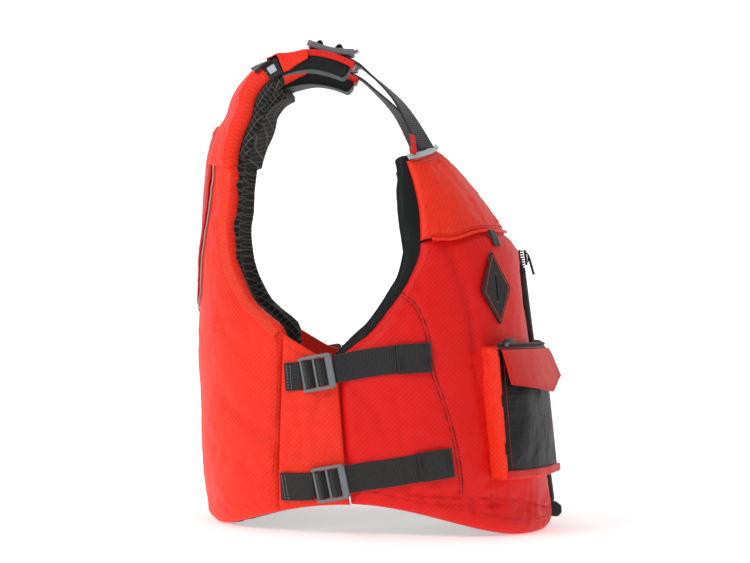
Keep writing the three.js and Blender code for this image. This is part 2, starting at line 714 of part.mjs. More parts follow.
function pocketFrame(x, y, out) {
  const up = pocketOut.clone().cross(pocketAlong);
  const matrix = new THREE.Matrix4().makeBasis(pocketAlong, up, pocketOut);
  const at = faceTopBack.clone().addScaledVector(pocketAlong, x).addScaledVector(up, y);
  matrix.setPosition(at.addScaledVector(pocketOut, out));
  return matrix;
}

function buildPocket() {
  const columns = 8;
  const rows = 5;
  const face = [];
  const root = [];
  for (let i = 0; i <= rows; i += 1) {
    const v = i / rows;
    const left = faceLowBack.clone().lerp(faceTopBack, v);
    const right = faceLowFront.clone().lerp(faceTopFront, v);
    const faceRow = [];
    const rootRow = [];
    for (let j = 0; j <= columns; j += 1) {
      const u = j / columns;
      const angle = THREE.MathUtils.lerp(POCKET_BACK, POCKET_FRONT, u);
      faceRow.push(left.clone().lerp(right, u));
      rootRow.push(skin(angle, z(THREE.MathUtils.lerp(POCKET_BOTTOM, POCKET_TOP, v)), MOUNT_GAP));
    }
    face.push(faceRow);
    root.push(rootRow);
  }
  addPair('pocket', closedGrid(face, root), 'pocket');
}

// The pointed flap hangs from the top edge of the face and stands off it at the foot.
const FLAP_STANDOFF = 2.5;
function buildFlap() {
  const side = FLAP_DROP - FLAP_POINT;
  const shape = new THREE.Shape();
  shape.moveTo(2, -side - 6);
  shape.lineTo(pocketWidth * 0.62, -FLAP_DROP);
  shape.lineTo(pocketWidth - 2, -side);
  shape.lineTo(pocketWidth - 6, 0);
  shape.lineTo(6, 0);
  const tilt = new THREE.Matrix4().makeRotationX(-FLAP_LIFT * DEGREE);
  const place = pocketFrame(0, -1, FLAP_STANDOFF).multiply(tilt);
  addPair('pocket_flap', extruded(shape, FLAP_THICKNESS).applyMatrix4(place), 'flap');
}

// The pocket zip lies along the top of the pocket, and its slider rides on it.
function buildPocketZip() {
  const rise = 1;
  const lip = 4;
  const height = POCKET_ZIP_HEIGHT;
  const depth = POCKET_ZIP_DEPTH;
  const tape = new THREE.BoxGeometry(pocketWidth - 2 * lip, height, depth);
  tape.translate(pocketWidth / 2, rise + height / 2, -depth / 2);
  addPair('pocket_zip', tape.applyMatrix4(pocketFrame(0, 0, 0)), 'zip');
  const wall = 1.6;
  const fit = 0.5;
  const outline = [
    [-depth - fit - wall, height * 0.35],
    [-depth - fit, height * 0.35],
    [-depth - fit, height + rise + fit],
    [fit, height + rise + fit],
    [fit, height * 0.6],
    [fit + wall, height * 0.6],
    [fit + wall, height + rise + fit + wall],
    [-depth - fit - wall, height + rise + fit + wall],
  ];
  const shape = new THREE.Shape(outline.map(([out, up]) => new THREE.Vector2(-out, up)));
  const slider = extruded(shape, POCKET_SLIDER_LENGTH);
  slider.rotateY(Math.PI / 2);
  slider.translate(lip + 4, 0, 0);
  addPair('pocket_slider', slider.applyMatrix4(pocketFrame(0, 0, 0)), 'zip');
}

// ---- Lash tab ------------------------------------------------------------------------

function buildLashTab() {
  const shape = new THREE.Shape();
  shape.moveTo(-TAB_WIDTH * 0.5, -4);
  shape.lineTo(2, -TAB_HEIGHT / 2);
  shape.lineTo(TAB_WIDTH * 0.5, 0);
  shape.lineTo(-3, TAB_HEIGHT / 2);
  const slitHalf = 1;
  shape.holes.push(rectangleHole(-slitHalf, -TAB_SLIT / 2, slitHalf, TAB_SLIT / 2));
  const place = onSkin(43.5, z(258), MOUNT_GAP + 1.4);
  addPair('lash_tab', extruded(shape, TAB_THICKNESS).applyMatrix4(place), 'tab');
}

// ---- Assembly ------------------------------------------------------------------------

buildBack();
buildBackYoke();
buildSidePanels();
buildFrontBody();
buildYoke();
buildShoulders();
buildSideStrap('upper', upperStrap);
buildSideStrap('lower', lowerStrap);
buildShoulderBuckle();
buildShoulderWebbing();
buildZip();
buildPocket();
buildFlap();
buildPocketZip();
buildLashTab();

// The origin is under the middle of the whole jacket.
const whole = new THREE.Box3().setFromObject(jacket);
const middle = (whole.min.y + whole.max.y) / 2;
for (const piece of jacket.children) piece.geometry.translate(0, -middle, -whole.min.z);

export default jacket;
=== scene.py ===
"""A front-zip life jacket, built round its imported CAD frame.

Sizes are millimetres on the body form and metres in the frame. +Z is up, the front faces
-Y and the wearer's right is -X. Each sub-assembly is a class that builds its own pieces on
the right side, and the left side is the mirror image of it.
"""
from __future__ import annotations

import logging
import math
from dataclasses import dataclass, replace
from enum import Enum
from typing import Callable, Sequence

import bmesh
import bpy
import numpy as np
from mathutils import Matrix, Vector, kdtree, noise

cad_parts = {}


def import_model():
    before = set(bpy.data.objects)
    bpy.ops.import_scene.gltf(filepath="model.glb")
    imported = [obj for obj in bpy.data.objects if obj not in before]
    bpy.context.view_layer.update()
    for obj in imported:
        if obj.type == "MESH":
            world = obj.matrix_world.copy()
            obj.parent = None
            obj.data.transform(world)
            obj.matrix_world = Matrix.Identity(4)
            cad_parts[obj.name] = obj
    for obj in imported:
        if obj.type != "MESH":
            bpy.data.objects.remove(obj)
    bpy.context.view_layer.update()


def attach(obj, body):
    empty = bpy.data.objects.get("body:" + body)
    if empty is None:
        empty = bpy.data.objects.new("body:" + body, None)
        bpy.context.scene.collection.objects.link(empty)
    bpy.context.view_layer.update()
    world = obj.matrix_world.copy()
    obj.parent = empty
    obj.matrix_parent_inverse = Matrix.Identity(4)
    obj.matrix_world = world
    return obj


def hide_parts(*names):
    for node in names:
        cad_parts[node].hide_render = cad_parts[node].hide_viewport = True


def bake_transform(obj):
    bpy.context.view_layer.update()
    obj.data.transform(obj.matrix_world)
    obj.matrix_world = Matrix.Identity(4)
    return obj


LOG = logging.getLogger("life_jacket")
MM = 0.001
PER_DEGREE = 3.2
UP = np.array([0.0, 0.0, 1.0])
Points = np.ndarray
Edge = Callable[[Points], Points]


# ---- Lines and the body form ---------------------------------------------------------


class Line:
    """A smooth line through points, measured by the share of its length."""

    def __init__(self, points: Sequence[Sequence[float]], scale: Sequence[float] | None = None) -> None:
        """Takes the points, and how much each coordinate counts in the length."""
        rows = np.array(points, float)
        self.scale = np.ones(rows.shape[1]) if scale is None else np.array(scale, float)
        p = rows * self.scale
        p = np.vstack([2 * p[0] - p[1], p, 2 * p[-1] - p[-2]])
        t = np.linspace(0, 1, 24, endpoint=False)[:, None]
        parts = []
        for a, b, c, d in zip(p, p[1:], p[2:], p[3:]):
            bend = (2 * a - 5 * b + 4 * c - d) * t**2 + (3 * b - a - 3 * c + d) * t**3
            parts.append(0.5 * (2 * b + (c - a) * t + bend))
        self.dense = np.vstack([*parts, p[-2]])
        steps = np.linalg.norm(np.diff(self.dense, axis=0), axis=1)
        self.measure = np.concatenate([[0.0], np.cumsum(steps)])
        self.length = float(self.measure[-1])

    def at(self, share: Points | float) -> Points:
        """The points at shares of the length, from 0 to 1."""
        where = np.asarray(share, float) * self.length
        columns = [np.interp(where, self.measure, c) for c in self.dense.T]
        return np.stack(columns, -1) / self.scale

    def spaced(self, step: float) -> Points:
        """Points about one step apart along the whole line."""
        return self.at(np.linspace(0, 1, max(2, round(self.length / step) + 1)))


def on_form(points: Sequence[Sequence[float]]) -> Line:
    """A smooth line through angles and heights on the body form."""
    return Line(points, (PER_DEGREE, 1.0))


def unit(vectors: Points) -> Points:
    """The vectors at length 1."""
    return vectors / np.maximum(np.linalg.norm(vectors, axis=-1, keepdims=True), 1e-12)


def smooth_step(value: Points, low: float, high: float) -> Points:
    """0 below low, 1 above high, and smooth between."""
    t = np.clip((np.asarray(value, float) - low) / (high - low), 0, 1)
    return t * t * (3 - 2 * t)


@dataclass(frozen=True)
class Form:
    """The body of the jacket: rounded plan sections from the hem to the shoulders.

    A row is a height, the back, the front and the half width. Angle 0 is the centre front,
    90 the wearer's right and 180 the centre back.
    """

    rows: tuple[tuple[float, float, float, float], ...] = (
        (0, 172, -204, 182), (60, 180, -194.7, 188), (110, 184, -187, 190), (200, 188, -173, 190),
        (270, 189, -162, 186), (300, 188, -157.4, 184), (326, 187, -142, 181), (348, 186, -127, 178),
        (386, 183, -98, 172), (410, 179, -75, 167), (455, 164, -30, 155),
    )
    roundness: float = 2.5
    shift: float = 9.570
    hem_rise: float = 32.0
    hem_front: float = 35.0
    hem_back: float = 160.0

    def _column(self, height: Points, column: int) -> Points:
        """One column of the rows, smoothed, at heights."""
        table = np.array(self.rows, float)
        knots, values = table[:, 0], table[:, column]
        last = len(knots) - 1
        i = np.searchsorted(knots[1:-1], height, side="left")
        low = np.maximum(np.arange(last + 1) - 1, 0)
        high = np.minimum(np.arange(last + 1) + 1, last)
        slope = (values[high] - values[low]) / (knots[high] - knots[low])
        step = knots[i + 1] - knots[i]
        t = (height - knots[i]) / step
        start = values[i] * (2 * t**3 - 3 * t**2 + 1) + slope[i] * step * (t**3 - 2 * t**2 + t)
        return start + values[i + 1] * (3 * t**2 - 2 * t**3) + slope[i + 1] * step * (t**3 - t**2)

    def section(self, height: Points) -> tuple[Points, Points, Points]:
        """The centre in Y, the half depth and the half width at heights."""
        h = np.clip(np.asarray(height, float), self.rows[0][0], self.rows[-1][0])
        back, front, half_width = (self._column(h, k) for k in (1, 2, 3))
        return (back + front) / 2, (back - front) / 2, half_width

    def point(self, angle: Points, height: Points, offset: Points | float = 0.0) -> Points:
        """Points on the form, or an offset outside it, in metres in the frame."""
        angle, height, offset = np.broadcast_arrays(
            np.asarray(angle, float), np.asarray(height, float), np.asarray(offset, float))
        centre, half_depth, half_width = self.section(height)
        s, c = np.sin(np.radians(angle)), np.cos(np.radians(angle))
        n = self.roundness
        r = (np.abs(s / half_width) ** n + np.abs(c / half_depth) ** n) ** (-1 / n)
        nx = -np.sign(s) * np.abs(r * s / half_width) ** (n - 1) / half_width
        ny = -np.sign(c) * np.abs(r * c / half_depth) ** (n - 1) / half_depth
        size = np.hypot(nx, ny)
        x = -r * s + offset * nx / size
        y = centre - r * c + offset * ny / size + self.shift
        return np.stack([x, y, height], -1) * MM

    def normal(self, angle: Points, height: Points) -> Points:
        """Outward directions of the form."""
        small = 0.5
        forward = self.point(angle - small, height) - self.point(angle + small, height)
        rise = self.point(angle, height + small) - self.point(angle, height - small)
        return unit(np.cross(forward, rise))

    def frame(self, angle: float, height: float, offset: float, tilt: float = 0.0) -> Matrix:
        """The frame of a flat piece: x to the front, y up and z outward."""
        small = 0.5
        a, h = np.array(angle), np.array(height)
        x = unit(self.point(a - small, h) - self.point(a + small, h))
        z = self.normal(a, h)
        y = np.cross(z, x)
        matrix = Matrix(np.column_stack([x, y, z]).tolist()).to_4x4()
        matrix.translation = Vector(self.point(a, h) + z * offset * MM)
        return matrix @ Matrix.Rotation(math.radians(tilt), 4, "Z")

    def hem(self, angle: Points) -> Points:
        """The height of the hem: flat at the front and back, raised at the sides."""
        around = np.where(np.asarray(angle) > 180, 360 - np.asarray(angle), angle)
        share = np.clip((around - self.hem_front) / (self.hem_back - self.hem_front), 0, 1)
        return self.hem_rise * np.sin(np.pi * share) ** 2

    def beside_zip(self, height: Points, distance: float) -> Points:
        """The angle at a distance from the centre line at the front."""
        return np.degrees(np.arctan2(distance, self.section(height)[1]))

    def weave(self, points: Points) -> Points:
        """How far round and up each point of the frame is, for the weave of cloth on the form."""
        mm = points / MM
        centre = self.section(mm[:, 2])[0]
        angle = np.degrees(np.arctan2(-mm[:, 0], centre + self.shift - mm[:, 1]))
        return np.stack([angle * PER_DEGREE, mm[:, 2], np.zeros(len(mm))], -1) * MM


FORM = Form()


@dataclass(frozen=True)
class Patch:
    """A four-edged outline on the form. Bottom and top run with u, start and end with v."""

    bottom: Edge
    top: Edge
    start: Edge
    end: Edge

    def at(self, u: Points, v: Points) -> Points:
        """The angles and heights at a grid of u by v, as (rows, columns, 2)."""
        b, t = self.bottom(u)[None], self.top(u)[None]
        s, e = self.start(v)[:, None], self.end(v)[:, None]
        U, V = u[None, :, None], v[:, None, None]
        low = (1 - U) * b[:, :1] + U * b[:, -1:]
        high = (1 - U) * t[:, :1] + U * t[:, -1:]
        return (1 - V) * b + V * t + (1 - U) * s + U * e - (1 - V) * low - V * high

    def rim(self, count: int = 160) -> Points:
        """Angles and heights round the outline."""
        t = np.linspace(0, 1, count)
        return np.vstack([self.bottom(t), self.end(t), self.top(t)[::-1], self.start(t)[::-1]])


def hem_edge(start: float, end: float, lift: float) -> Edge:
    """An edge between two angles, at a height above the hem."""
    def edge(t: Points) -> Points:
        angle = start + (end - start) * np.asarray(t)
        return np.stack([angle, FORM.hem(angle) + lift], -1)
    return edge


def straight(start: tuple[float, float], end: tuple[float, float]) -> Edge:
    """A straight edge in angle and height."""
    def edge(t: Points) -> Points:
        return np.array(start) + (np.array(end) - np.array(start)) * np.asarray(t)[:, None]
    return edge


def nearest(points: Points, samples: Points) -> tuple[Points, Points]:
    """The distance to the nearest sample in millimetres, and which sample it is."""
    tree = kdtree.KDTree(len(samples))
    for i, sample in enumerate(samples):
        tree.insert(sample, i)
    tree.balance()
    found = [tree.find(p) for p in points.reshape(-1, 3)]
    distance = np.array([f[2] for f in found]) / MM
    return distance.reshape(points.shape[:-1]), np.array([f[1] for f in found]).reshape(points.shape[:-1])


def ripple(points: Points, size: float, seed: float, ridged: bool = False) -> Points:
    """Smooth noise from about -1 to 1 with features of a size in millimetres."""
    flat = points.reshape(-1, 3) / (size * MM)
    values = np.array([noise.noise(Vector(p) + Vector((seed, seed * 1.7, -seed))) for p in flat])
    values = 0.6 - 2.2 * np.abs(values) if ridged else values * 1.6
    return values.reshape(points.shape[:-1])


# ---- Mesh making ---------------------------------------------------------------------


def make_piece(name: str, points: Points, faces: list, finish: Finish, weave: Points | None = None,
               weld: bool = False) -> bpy.types.Object:
    """A smooth mesh piece in the frame.

    Args:
        name: the piece's name.
        points: its vertices in metres.
        faces: its faces as vertex numbers.
        finish: its material.
        weave: where each vertex lies on the flat cloth, or None to measure it on the form.
        weld: True where layers meet at a seam.

    Returns:
        The object, in the scene.
    """
    mesh = bpy.data.meshes.new(name)
    mesh.from_pydata(points.reshape(-1, 3).tolist(), [], faces)
    if weave is not None:
        store_weave(mesh, weave)
    work = bmesh.new()
    work.from_mesh(mesh)
    if weld:
        bmesh.ops.remove_doubles(work, verts=work.verts, dist=1e-6)
    bmesh.ops.recalc_face_normals(work, faces=work.faces)
    work.to_mesh(mesh)
    work.free()
    mesh.shade_smooth()
    if weave is None:
        store_weave(mesh, FORM.weave(np.array([v.co for v in mesh.vertices], float)))
    mesh.materials.append(finish.material())
    piece = bpy.data.objects.new(name, mesh)
    bpy.context.scene.collection.objects.link(piece)
    return piece


def store_weave(mesh: bpy.types.Mesh, weave: Points) -> None:
    """Keeps where each vertex lies on the flat cloth."""
    layer = mesh.attributes.get("weave") or mesh.attributes.new("weave", "FLOAT_VECTOR", "POINT")
    layer.data.foreach_set("vector", weave.reshape(-1).astype(np.float32))


def grid_faces(rows: int, columns: int, start: int = 0, flip: bool = False) -> list:
    """The quads of a grid of vertices."""
    quads = []
    for i in range(rows - 1):
        for j in range(columns - 1):
            a = start + i * columns + j
            quad = (a, a + 1, a + columns + 1, a + columns)
            quads.append(quad[::-1] if flip else quad)
    return quads


def closed_sheet(outer: Points, inner: Points) -> tuple[Points, list]:
    """A closed mesh between two grids of points, with walls round the edge."""
    rows, columns = outer.shape[:2]
    count = rows * columns
    faces = grid_faces(rows, columns) + grid_faces(rows, columns, count, True)
    ring = [j for j in range(columns)]
    ring += [i * columns + columns - 1 for i in range(1, rows)]
    ring += [(rows - 1) * columns + j for j in range(columns - 2, -1, -1)]
    ring += [i * columns for i in range(rows - 2, 0, -1)]
    for a, b in zip(ring, ring[1:] + ring[:1]):
        faces.append((b, a, a + count, b + count))
    return np.concatenate([outer.reshape(-1, 3), inner.reshape(-1, 3)]), faces


def outline(width: float, height: float, corner: float, across: int = 6) -> Points:
    """A closed rectangle with round corners about the origin, in millimetres."""
    corner = min(corner, width / 2 - 1e-3, height / 2 - 1e-3)
    points = []
    for turn, (sx, sy) in enumerate(((1, 1), (-1, 1), (-1, -1), (1, -1))):
        for k in range(4):
            a = math.radians(turn * 90 + k * 30)
            points.append((sx * (width / 2 - corner) + corner * math.cos(a),
                           sy * (height / 2 - corner) + corner * math.sin(a)))
        if turn in (0, 2):
            for k in range(1, across):
                points.append((-sx * (width / 2 - corner) * (2 * k / across - 1), sy * height / 2))
    return np.array(points)


def sweep(path: Points, normals: Points, ring: Points, widen: Points | float = 1.0,
          thicken: Points | float = 1.0) -> tuple[Points, list, Points]:
    """A closed tube of a cross section along a path.

    Args:
        path: the middle of the section, in metres.
        normals: the direction of the section's height at each point of the path.
        ring: the section in millimetres, as width and height.
        widen: how much wider the section is at each point.
        thicken: how much thicker it is at each point.

    Returns:
        The vertices, the faces and where each vertex lies on the flat strap.
    """
    tangent = unit(np.gradient(path, axis=0))
    across = unit(np.cross(normals, tangent))
    out = unit(np.cross(tangent, across))
    n, m = len(path), len(ring)
    wide = np.broadcast_to(np.asarray(widen, float), (n,))[:, None, None]
    thick = np.broadcast_to(np.asarray(thicken, float), (n,))[:, None, None]
    x, y = ring[None, :, :1] * wide, ring[None, :, 1:] * thick
    points = path[:, None] + (across[:, None] * x + out[:, None] * y) * MM
    faces = [(i * m + k, i * m + (k + 1) % m, (i + 1) * m + (k + 1) % m, (i + 1) * m + k)
             for i in range(n - 1) for k in range(m)]
    faces += [tuple(range(m))[::-1], tuple((n - 1) * m + k for k in range(m))]
    along = np.concatenate([[0], np.cumsum(np.linalg.norm(np.diff(path, axis=0), axis=1))])
    weave = np.zeros((n, m, 3))
    weave[..., 0] = along[:, None]
    weave[..., 1] = (ring[None, :, 0] * wide[..., 0]) * MM
    weave[..., 2] = (ring[None, :, 1] * thick[..., 0]) * MM
    return points.reshape(-1, 3), faces, weave.reshape(-1, 3)


def plate(shape: Points, frame: Matrix, thickness: float, hole: Points | None = None,
          rounding: float = 0.5) -> tuple[Points, list]:
    """A flat plate with rounded edges, from an outline in millimetres and its frame."""
    work = bmesh.new()
    loops = [[work.verts.new((x, y, 0)) for x, y in part] for part in (shape, hole) if part is not None]
    edges = [work.edges.new((a, b)) for loop in loops for a, b in zip(loop, loop[1:] + loop[:1])]
    bmesh.ops.triangle_fill(work, use_beauty=True, use_dissolve=True, edges=edges)
    grown = bmesh.ops.extrude_face_region(work, geom=work.faces[:])
    moved = [v for v in grown["geom"] if isinstance(v, bmesh.types.BMVert)]
    bmesh.ops.translate(work, verts=moved, vec=(0, 0, thickness))
    bmesh.ops.recalc_face_normals(work, faces=work.faces)
    sharp = [e for e in work.edges if e.is_manifold and e.calc_face_angle() > 0.6]
    bmesh.ops.bevel(work, geom=sharp, offset=rounding, segments=2, profile=0.6, affect="EDGES")
    work.verts.index_update()
    points = np.array([frame @ (v.co * MM) for v in work.verts])
    faces = [tuple(v.index for v in f.verts) for f in work.faces]
    work.free()
    return points, faces


def joined(parts: Sequence[tuple]) -> tuple:
    """Several meshes as one, with their weaves where they have one."""
    faces, start = [], 0
    for part in parts:
        faces += [tuple(k + start for k in face) for face in part[1]]
        start += len(part[0])
    arrays = [np.concatenate([p[0] for p in parts]), faces]
    if all(len(p) == 3 for p in parts):
        arrays.append(np.concatenate([p[2] for p in parts]))
    return tuple(arrays)


# ---- Belonging to the frame ----------------------------------------------------------


class Side(Enum):
    """The wearer's two sides."""

    RIGHT = "right"
    LEFT = "left"


@dataclass(frozen=True)
class Fit:
    """How a piece belongs to the frame. A * in a name stands for the side."""

    body: str
    slot: str
    nodes: tuple[str, ...] = ()
    bend: tuple[str, Points, Points] | None = None
    fill: float | None = None
    cut: tuple[float, float] | None = None
    area: float | None = None
    held: str = "laid"
    rests_on: tuple[str, ...] = ()


def pattern(corners: Sequence[Sequence[float]]) -> dict:
    """The flat pattern that a sheet is cut to, from its own corners in millimetres.

    Args:
        corners: the cut's outline, in order.

    Returns:
        The cut's width and length in metres and its area in square metres, as Fit takes them.
    """
    x, y = np.asarray(corners, float).T * MM
    area = abs(float(np.sum(x * np.roll(y, -1) - np.roll(x, -1) * y))) / 2
    return {"cut": (float(np.ptp(x)), float(np.ptp(y))), "area": area}


def fit(piece: bpy.types.Object, how: Fit, side: Side | None = None) -> bpy.types.Object:
    """Attaches a piece to its body, or bakes its place into its mesh where it has a bend, and hides its CAD nodes.

    Args:
        piece: the object in place.
        how: what it belongs to.
        side: which side a * means.

    Returns:
        The same object.
    """
    def named(text: str) -> str:
        return text.replace("*", side.value) if side else text

    if how.bend:
        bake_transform(piece)
    else:
        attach(piece, named(how.body))
    if how.nodes:
        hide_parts(*[named(n) for n in how.nodes])
    LOG.info("%s: %d faces", piece.name, len(piece.data.polygons))
    return piece


def fit_pair(right: bpy.types.Object, how: Fit) -> None:
    """Fits a right piece, whose name starts with right_, and its mirror image on the left."""
    left = right.copy()
    left.data = right.data.copy()
    left.name = left.data.name = right.name.replace("right_", "left_", 1)
    left.data.transform(Matrix.Diagonal((-1, 1, 1, 1)))
    left.data.flip_normals()
    bpy.context.scene.collection.objects.link(left)
    fit(right, how, Side.RIGHT)
    fit(left, how, Side.LEFT)


# ---- Finishes ------------------------------------------------------------------------


def linear(red: int, green: int, blue: int) -> tuple[float, float, float, float]:
    """A colour of three parts from 0 to 255, as the shader takes it."""
    parts = [c / 255 for c in (red, green, blue)]
    parts = [c / 12.92 if c <= 0.04045 else ((c + 0.055) / 1.055) ** 2.4 for c in parts]
    return (*parts, 1.0)


class Recipe:
    """The node tree of one finish, and short ways to add what finishes share."""

    def __init__(self, name: str, colour: tuple, roughness: float) -> None:
        """Starts a material of one colour and roughness."""
        self.made = bpy.data.materials.new(name)
        self.made.use_nodes = True
        self.tree = self.made.node_tree
        self.shader = self.tree.nodes["Principled BSDF"]
        self.shader.inputs["Base Color"].default_value = colour
        self.shader.inputs["Roughness"].default_value = roughness
        self.colour = None
        self.height = None

    def add(self, kind: str, inputs: dict, **settings: object) -> bpy.types.Node:
        """Adds a node.

        Args:
            kind: the node's type.
            inputs: a value or a socket for each input, by name or number.
            settings: the node's own properties.

        Returns:
            The node.
        """
        node = self.tree.nodes.new(kind)
        for key, value in settings.items():
            setattr(node, key, value)
        for key, value in inputs.items():
            if isinstance(value, bpy.types.NodeSocket):
                self.tree.links.new(value, node.inputs[key])
            else:
                node.inputs[key].default_value = value
        return node

    def math(self, operation: str, *values: object) -> bpy.types.NodeSocket:
        """The result of a sum."""
        return self.add("ShaderNodeMath", dict(enumerate(values)), operation=operation).outputs[0]

    def cloth(self) -> tuple[bpy.types.NodeSocket, bpy.types.NodeSocket]:
        """How far along and across the flat cloth a point lies, in millimetres."""
        weave = self.add("ShaderNodeAttribute", {}, attribute_name="weave").outputs["Vector"]
        split = self.add("ShaderNodeSeparateXYZ", {0: weave})
        return self.math("MULTIPLY", split.outputs[0], 1000.0), self.math("MULTIPLY", split.outputs[1], 1000.0)

    def lines(self, place: bpy.types.NodeSocket, period: float, width: float) -> bpy.types.NodeSocket:
        """1 on soft lines that repeat along a direction, and 0 between them."""
        turn = self.math("PINGPONG", self.math("DIVIDE", place, period), 0.5)
        far = width / period
        shade = self.add("ShaderNodeMapRange", {0: turn, 1: 0.0, 2: far, 3: 1.0, 4: 0.0},
                         interpolation_type="SMOOTHSTEP")
        return shade.outputs[0]

    def speckle(self, size: float, detail: float = 3.0, stretch: tuple = (1, 1, 1)) -> bpy.types.NodeSocket:
        """Noise from 0 to 1 with grains of a size in millimetres."""
        place = self.add("ShaderNodeTexCoord", {}).outputs["Object"]
        scaled = self.add("ShaderNodeMapping", {0: place, 3: stretch}).outputs[0]
        made = self.add("ShaderNodeTexNoise", {"Vector": scaled, "Scale": 1000.0 / size, "Detail": detail})
        return made.outputs[0]

    def tint(self, share: bpy.types.NodeSocket, low: tuple, high: tuple) -> bpy.types.NodeSocket:
        """A colour between two, by a share."""
        mix = self.add("ShaderNodeMix", {0: share, 6: low, 7: high}, data_type="RGBA")
        return mix.outputs[2]

    def raise_by(self, mask: bpy.types.NodeSocket, height: float) -> None:
        """Adds a mask to the fine relief, at a height in millimetres."""
        lifted = self.math("MULTIPLY", mask, height * MM)
        self.height = lifted if self.height is None else self.math("ADD", self.height, lifted)

    def finished(self) -> bpy.types.Material:
        """Links the colour and the relief, and returns the material."""
        if self.colour is not None:
            self.tree.links.new(self.colour, self.shader.inputs["Base Color"])
        if self.height is not None:
            bump = self.add("ShaderNodeBump", {"Height": self.height, "Distance": 1.0, "Strength": 1.0})
            self.tree.links.new(bump.outputs[0], self.shader.inputs["Normal"])
        return self.made


class Finish:
    """A finish that makes its material once."""

    _made: dict[str, bpy.types.Material] = {}

    def material(self) -> bpy.types.Material:
        """The material, made the first time that it is asked for."""
        if self.name not in Finish._made:
            Finish._made[self.name] = self.build()
        return Finish._made[self.name]


@dataclass(frozen=True)
class Ripstop(Finish):
    """Thin woven nylon with thicker yarns in a grid."""

    name: str
    colour: tuple[int, int, int]
    shade: tuple[int, int, int]
    yarn: tuple[int, int, int]
    roughness: float = 0.5
    cell: float = 3.6
    diagonal: bool = True
    crinkle: float = 0.35

    def build(self) -> bpy.types.Material:
        """The material: a diamond or square grid, a fine weave, soft crinkles and uneven dye."""
        r = Recipe(self.name, linear(*self.colour), self.roughness)
        along, across = r.cloth()
        if self.diagonal:
            turned = r.math("ADD", along, across), r.math("SUBTRACT", along, across)
        else:
            turned = along, across
        period = self.cell * (math.sqrt(2) if self.diagonal else 1.0)
        grid = r.math("MAXIMUM", *[r.lines(t, period, 0.75) for t in turned])
        weave = r.math("MAXIMUM", r.lines(along, 0.55, 0.2), r.lines(across, 0.55, 0.2))
        dye = r.speckle(70.0, 2.0)
        base = r.tint(dye, linear(*self.shade), linear(*self.colour))
        r.colour = r.tint(r.math("MULTIPLY", grid, 0.75), base, linear(*self.yarn))
        r.raise_by(grid, 0.13)
        r.raise_by(weave, 0.03)
        r.raise_by(r.speckle(14.0, 4.0), self.crinkle * 4)
        r.shader.inputs["Specular IOR Level"].default_value = 0.28
        return r.finished()


@dataclass(frozen=True)
class Satin(Finish):
    """A smooth lining cloth with fine crinkles."""

    name: str
    colour: tuple[int, int, int]
    roughness: float = 0.5
    crinkle: float = 2.4

    def build(self) -> bpy.types.Material:
        """The material: a very fine weave under soft creases."""
        r = Recipe(self.name, linear(*self.colour), self.roughness)
        along, across = r.cloth()
        darker = linear(*[int(c * 0.72) for c in self.colour])
        r.colour = r.tint(r.speckle(40.0, 3.0), darker, linear(*self.colour))
        r.raise_by(r.math("MAXIMUM", r.lines(along, 0.45, 0.18), r.lines(across, 0.45, 0.18)), 0.02)
        r.raise_by(r.speckle(16.0, 4.0, (1.0, 1.0, 0.5)), self.crinkle)
        r.shader.inputs["Specular IOR Level"].default_value = 0.12
        return r.finished()


@dataclass(frozen=True)
class OpenMesh(Finish):
    """Knitted mesh of light threads over dark cloth."""

    name: str
    thread: tuple[int, int, int]
    ground: tuple[int, int, int]
    cell: float = 8.5

    def build(self) -> bpy.types.Material:
        """The material: diamond threads standing over holes."""
        r = Recipe(self.name, linear(*self.thread), 0.8)
        place = r.add("ShaderNodeSeparateXYZ", {0: r.add("ShaderNodeTexCoord", {}).outputs["Object"]})
        wavy = r.math("MULTIPLY", r.speckle(30.0, 1.0), 4.0)
        up = r.math("ADD", r.math("MULTIPLY", place.outputs[2], 1000.0), wavy)
        side = r.math("ADD", r.math("MULTIPLY", place.outputs[1], 900.0),
                      r.math("MULTIPLY", place.outputs[0], 450.0))
        slant = r.math("ADD", up, r.math("MULTIPLY", side, 1.5))
        other = r.math("SUBTRACT", up, r.math("MULTIPLY", side, 1.5))
        net = r.math("MAXIMUM", r.lines(slant, self.cell, 1.3), r.lines(other, self.cell, 1.3))
        worn = r.tint(r.speckle(9.0, 3.0), linear(*[int(c * 0.7) for c in self.thread]), linear(*self.thread))
        r.colour = r.tint(net, linear(*self.ground), worn)
        r.raise_by(net, 0.9)
        return r.finished()


@dataclass(frozen=True)
class Webbing(Finish):
    """Woven strap with ribs across its width and firm edges."""

    name: str
    colour: tuple[int, int, int]
    rib: float = 2.3
    depth: float = 0.4
    half_width: float = 14.5

    def build(self) -> bpy.types.Material:
        """The material: ribs with yarns along them and a paler worn crest."""
        r = Recipe(self.name, linear(*self.colour), 0.62)
        along, across = r.cloth()
        ribs = r.lines(along, self.rib, self.rib * 0.45)
        yarns = r.lines(r.math("ADD", across, r.math("MULTIPLY", along, 0.5)), 1.1, 0.5)
        pale = linear(*[min(255, int(c * 1.55)) for c in self.colour])
        crest = r.math("MULTIPLY", ribs, r.speckle(6.0, 3.0))
        r.colour = r.tint(crest, linear(*self.colour), pale)
        r.raise_by(ribs, self.depth)
        r.raise_by(yarns, 0.12)
        r.shader.inputs["Sheen Weight"].default_value = 0.15
        return r.finished()


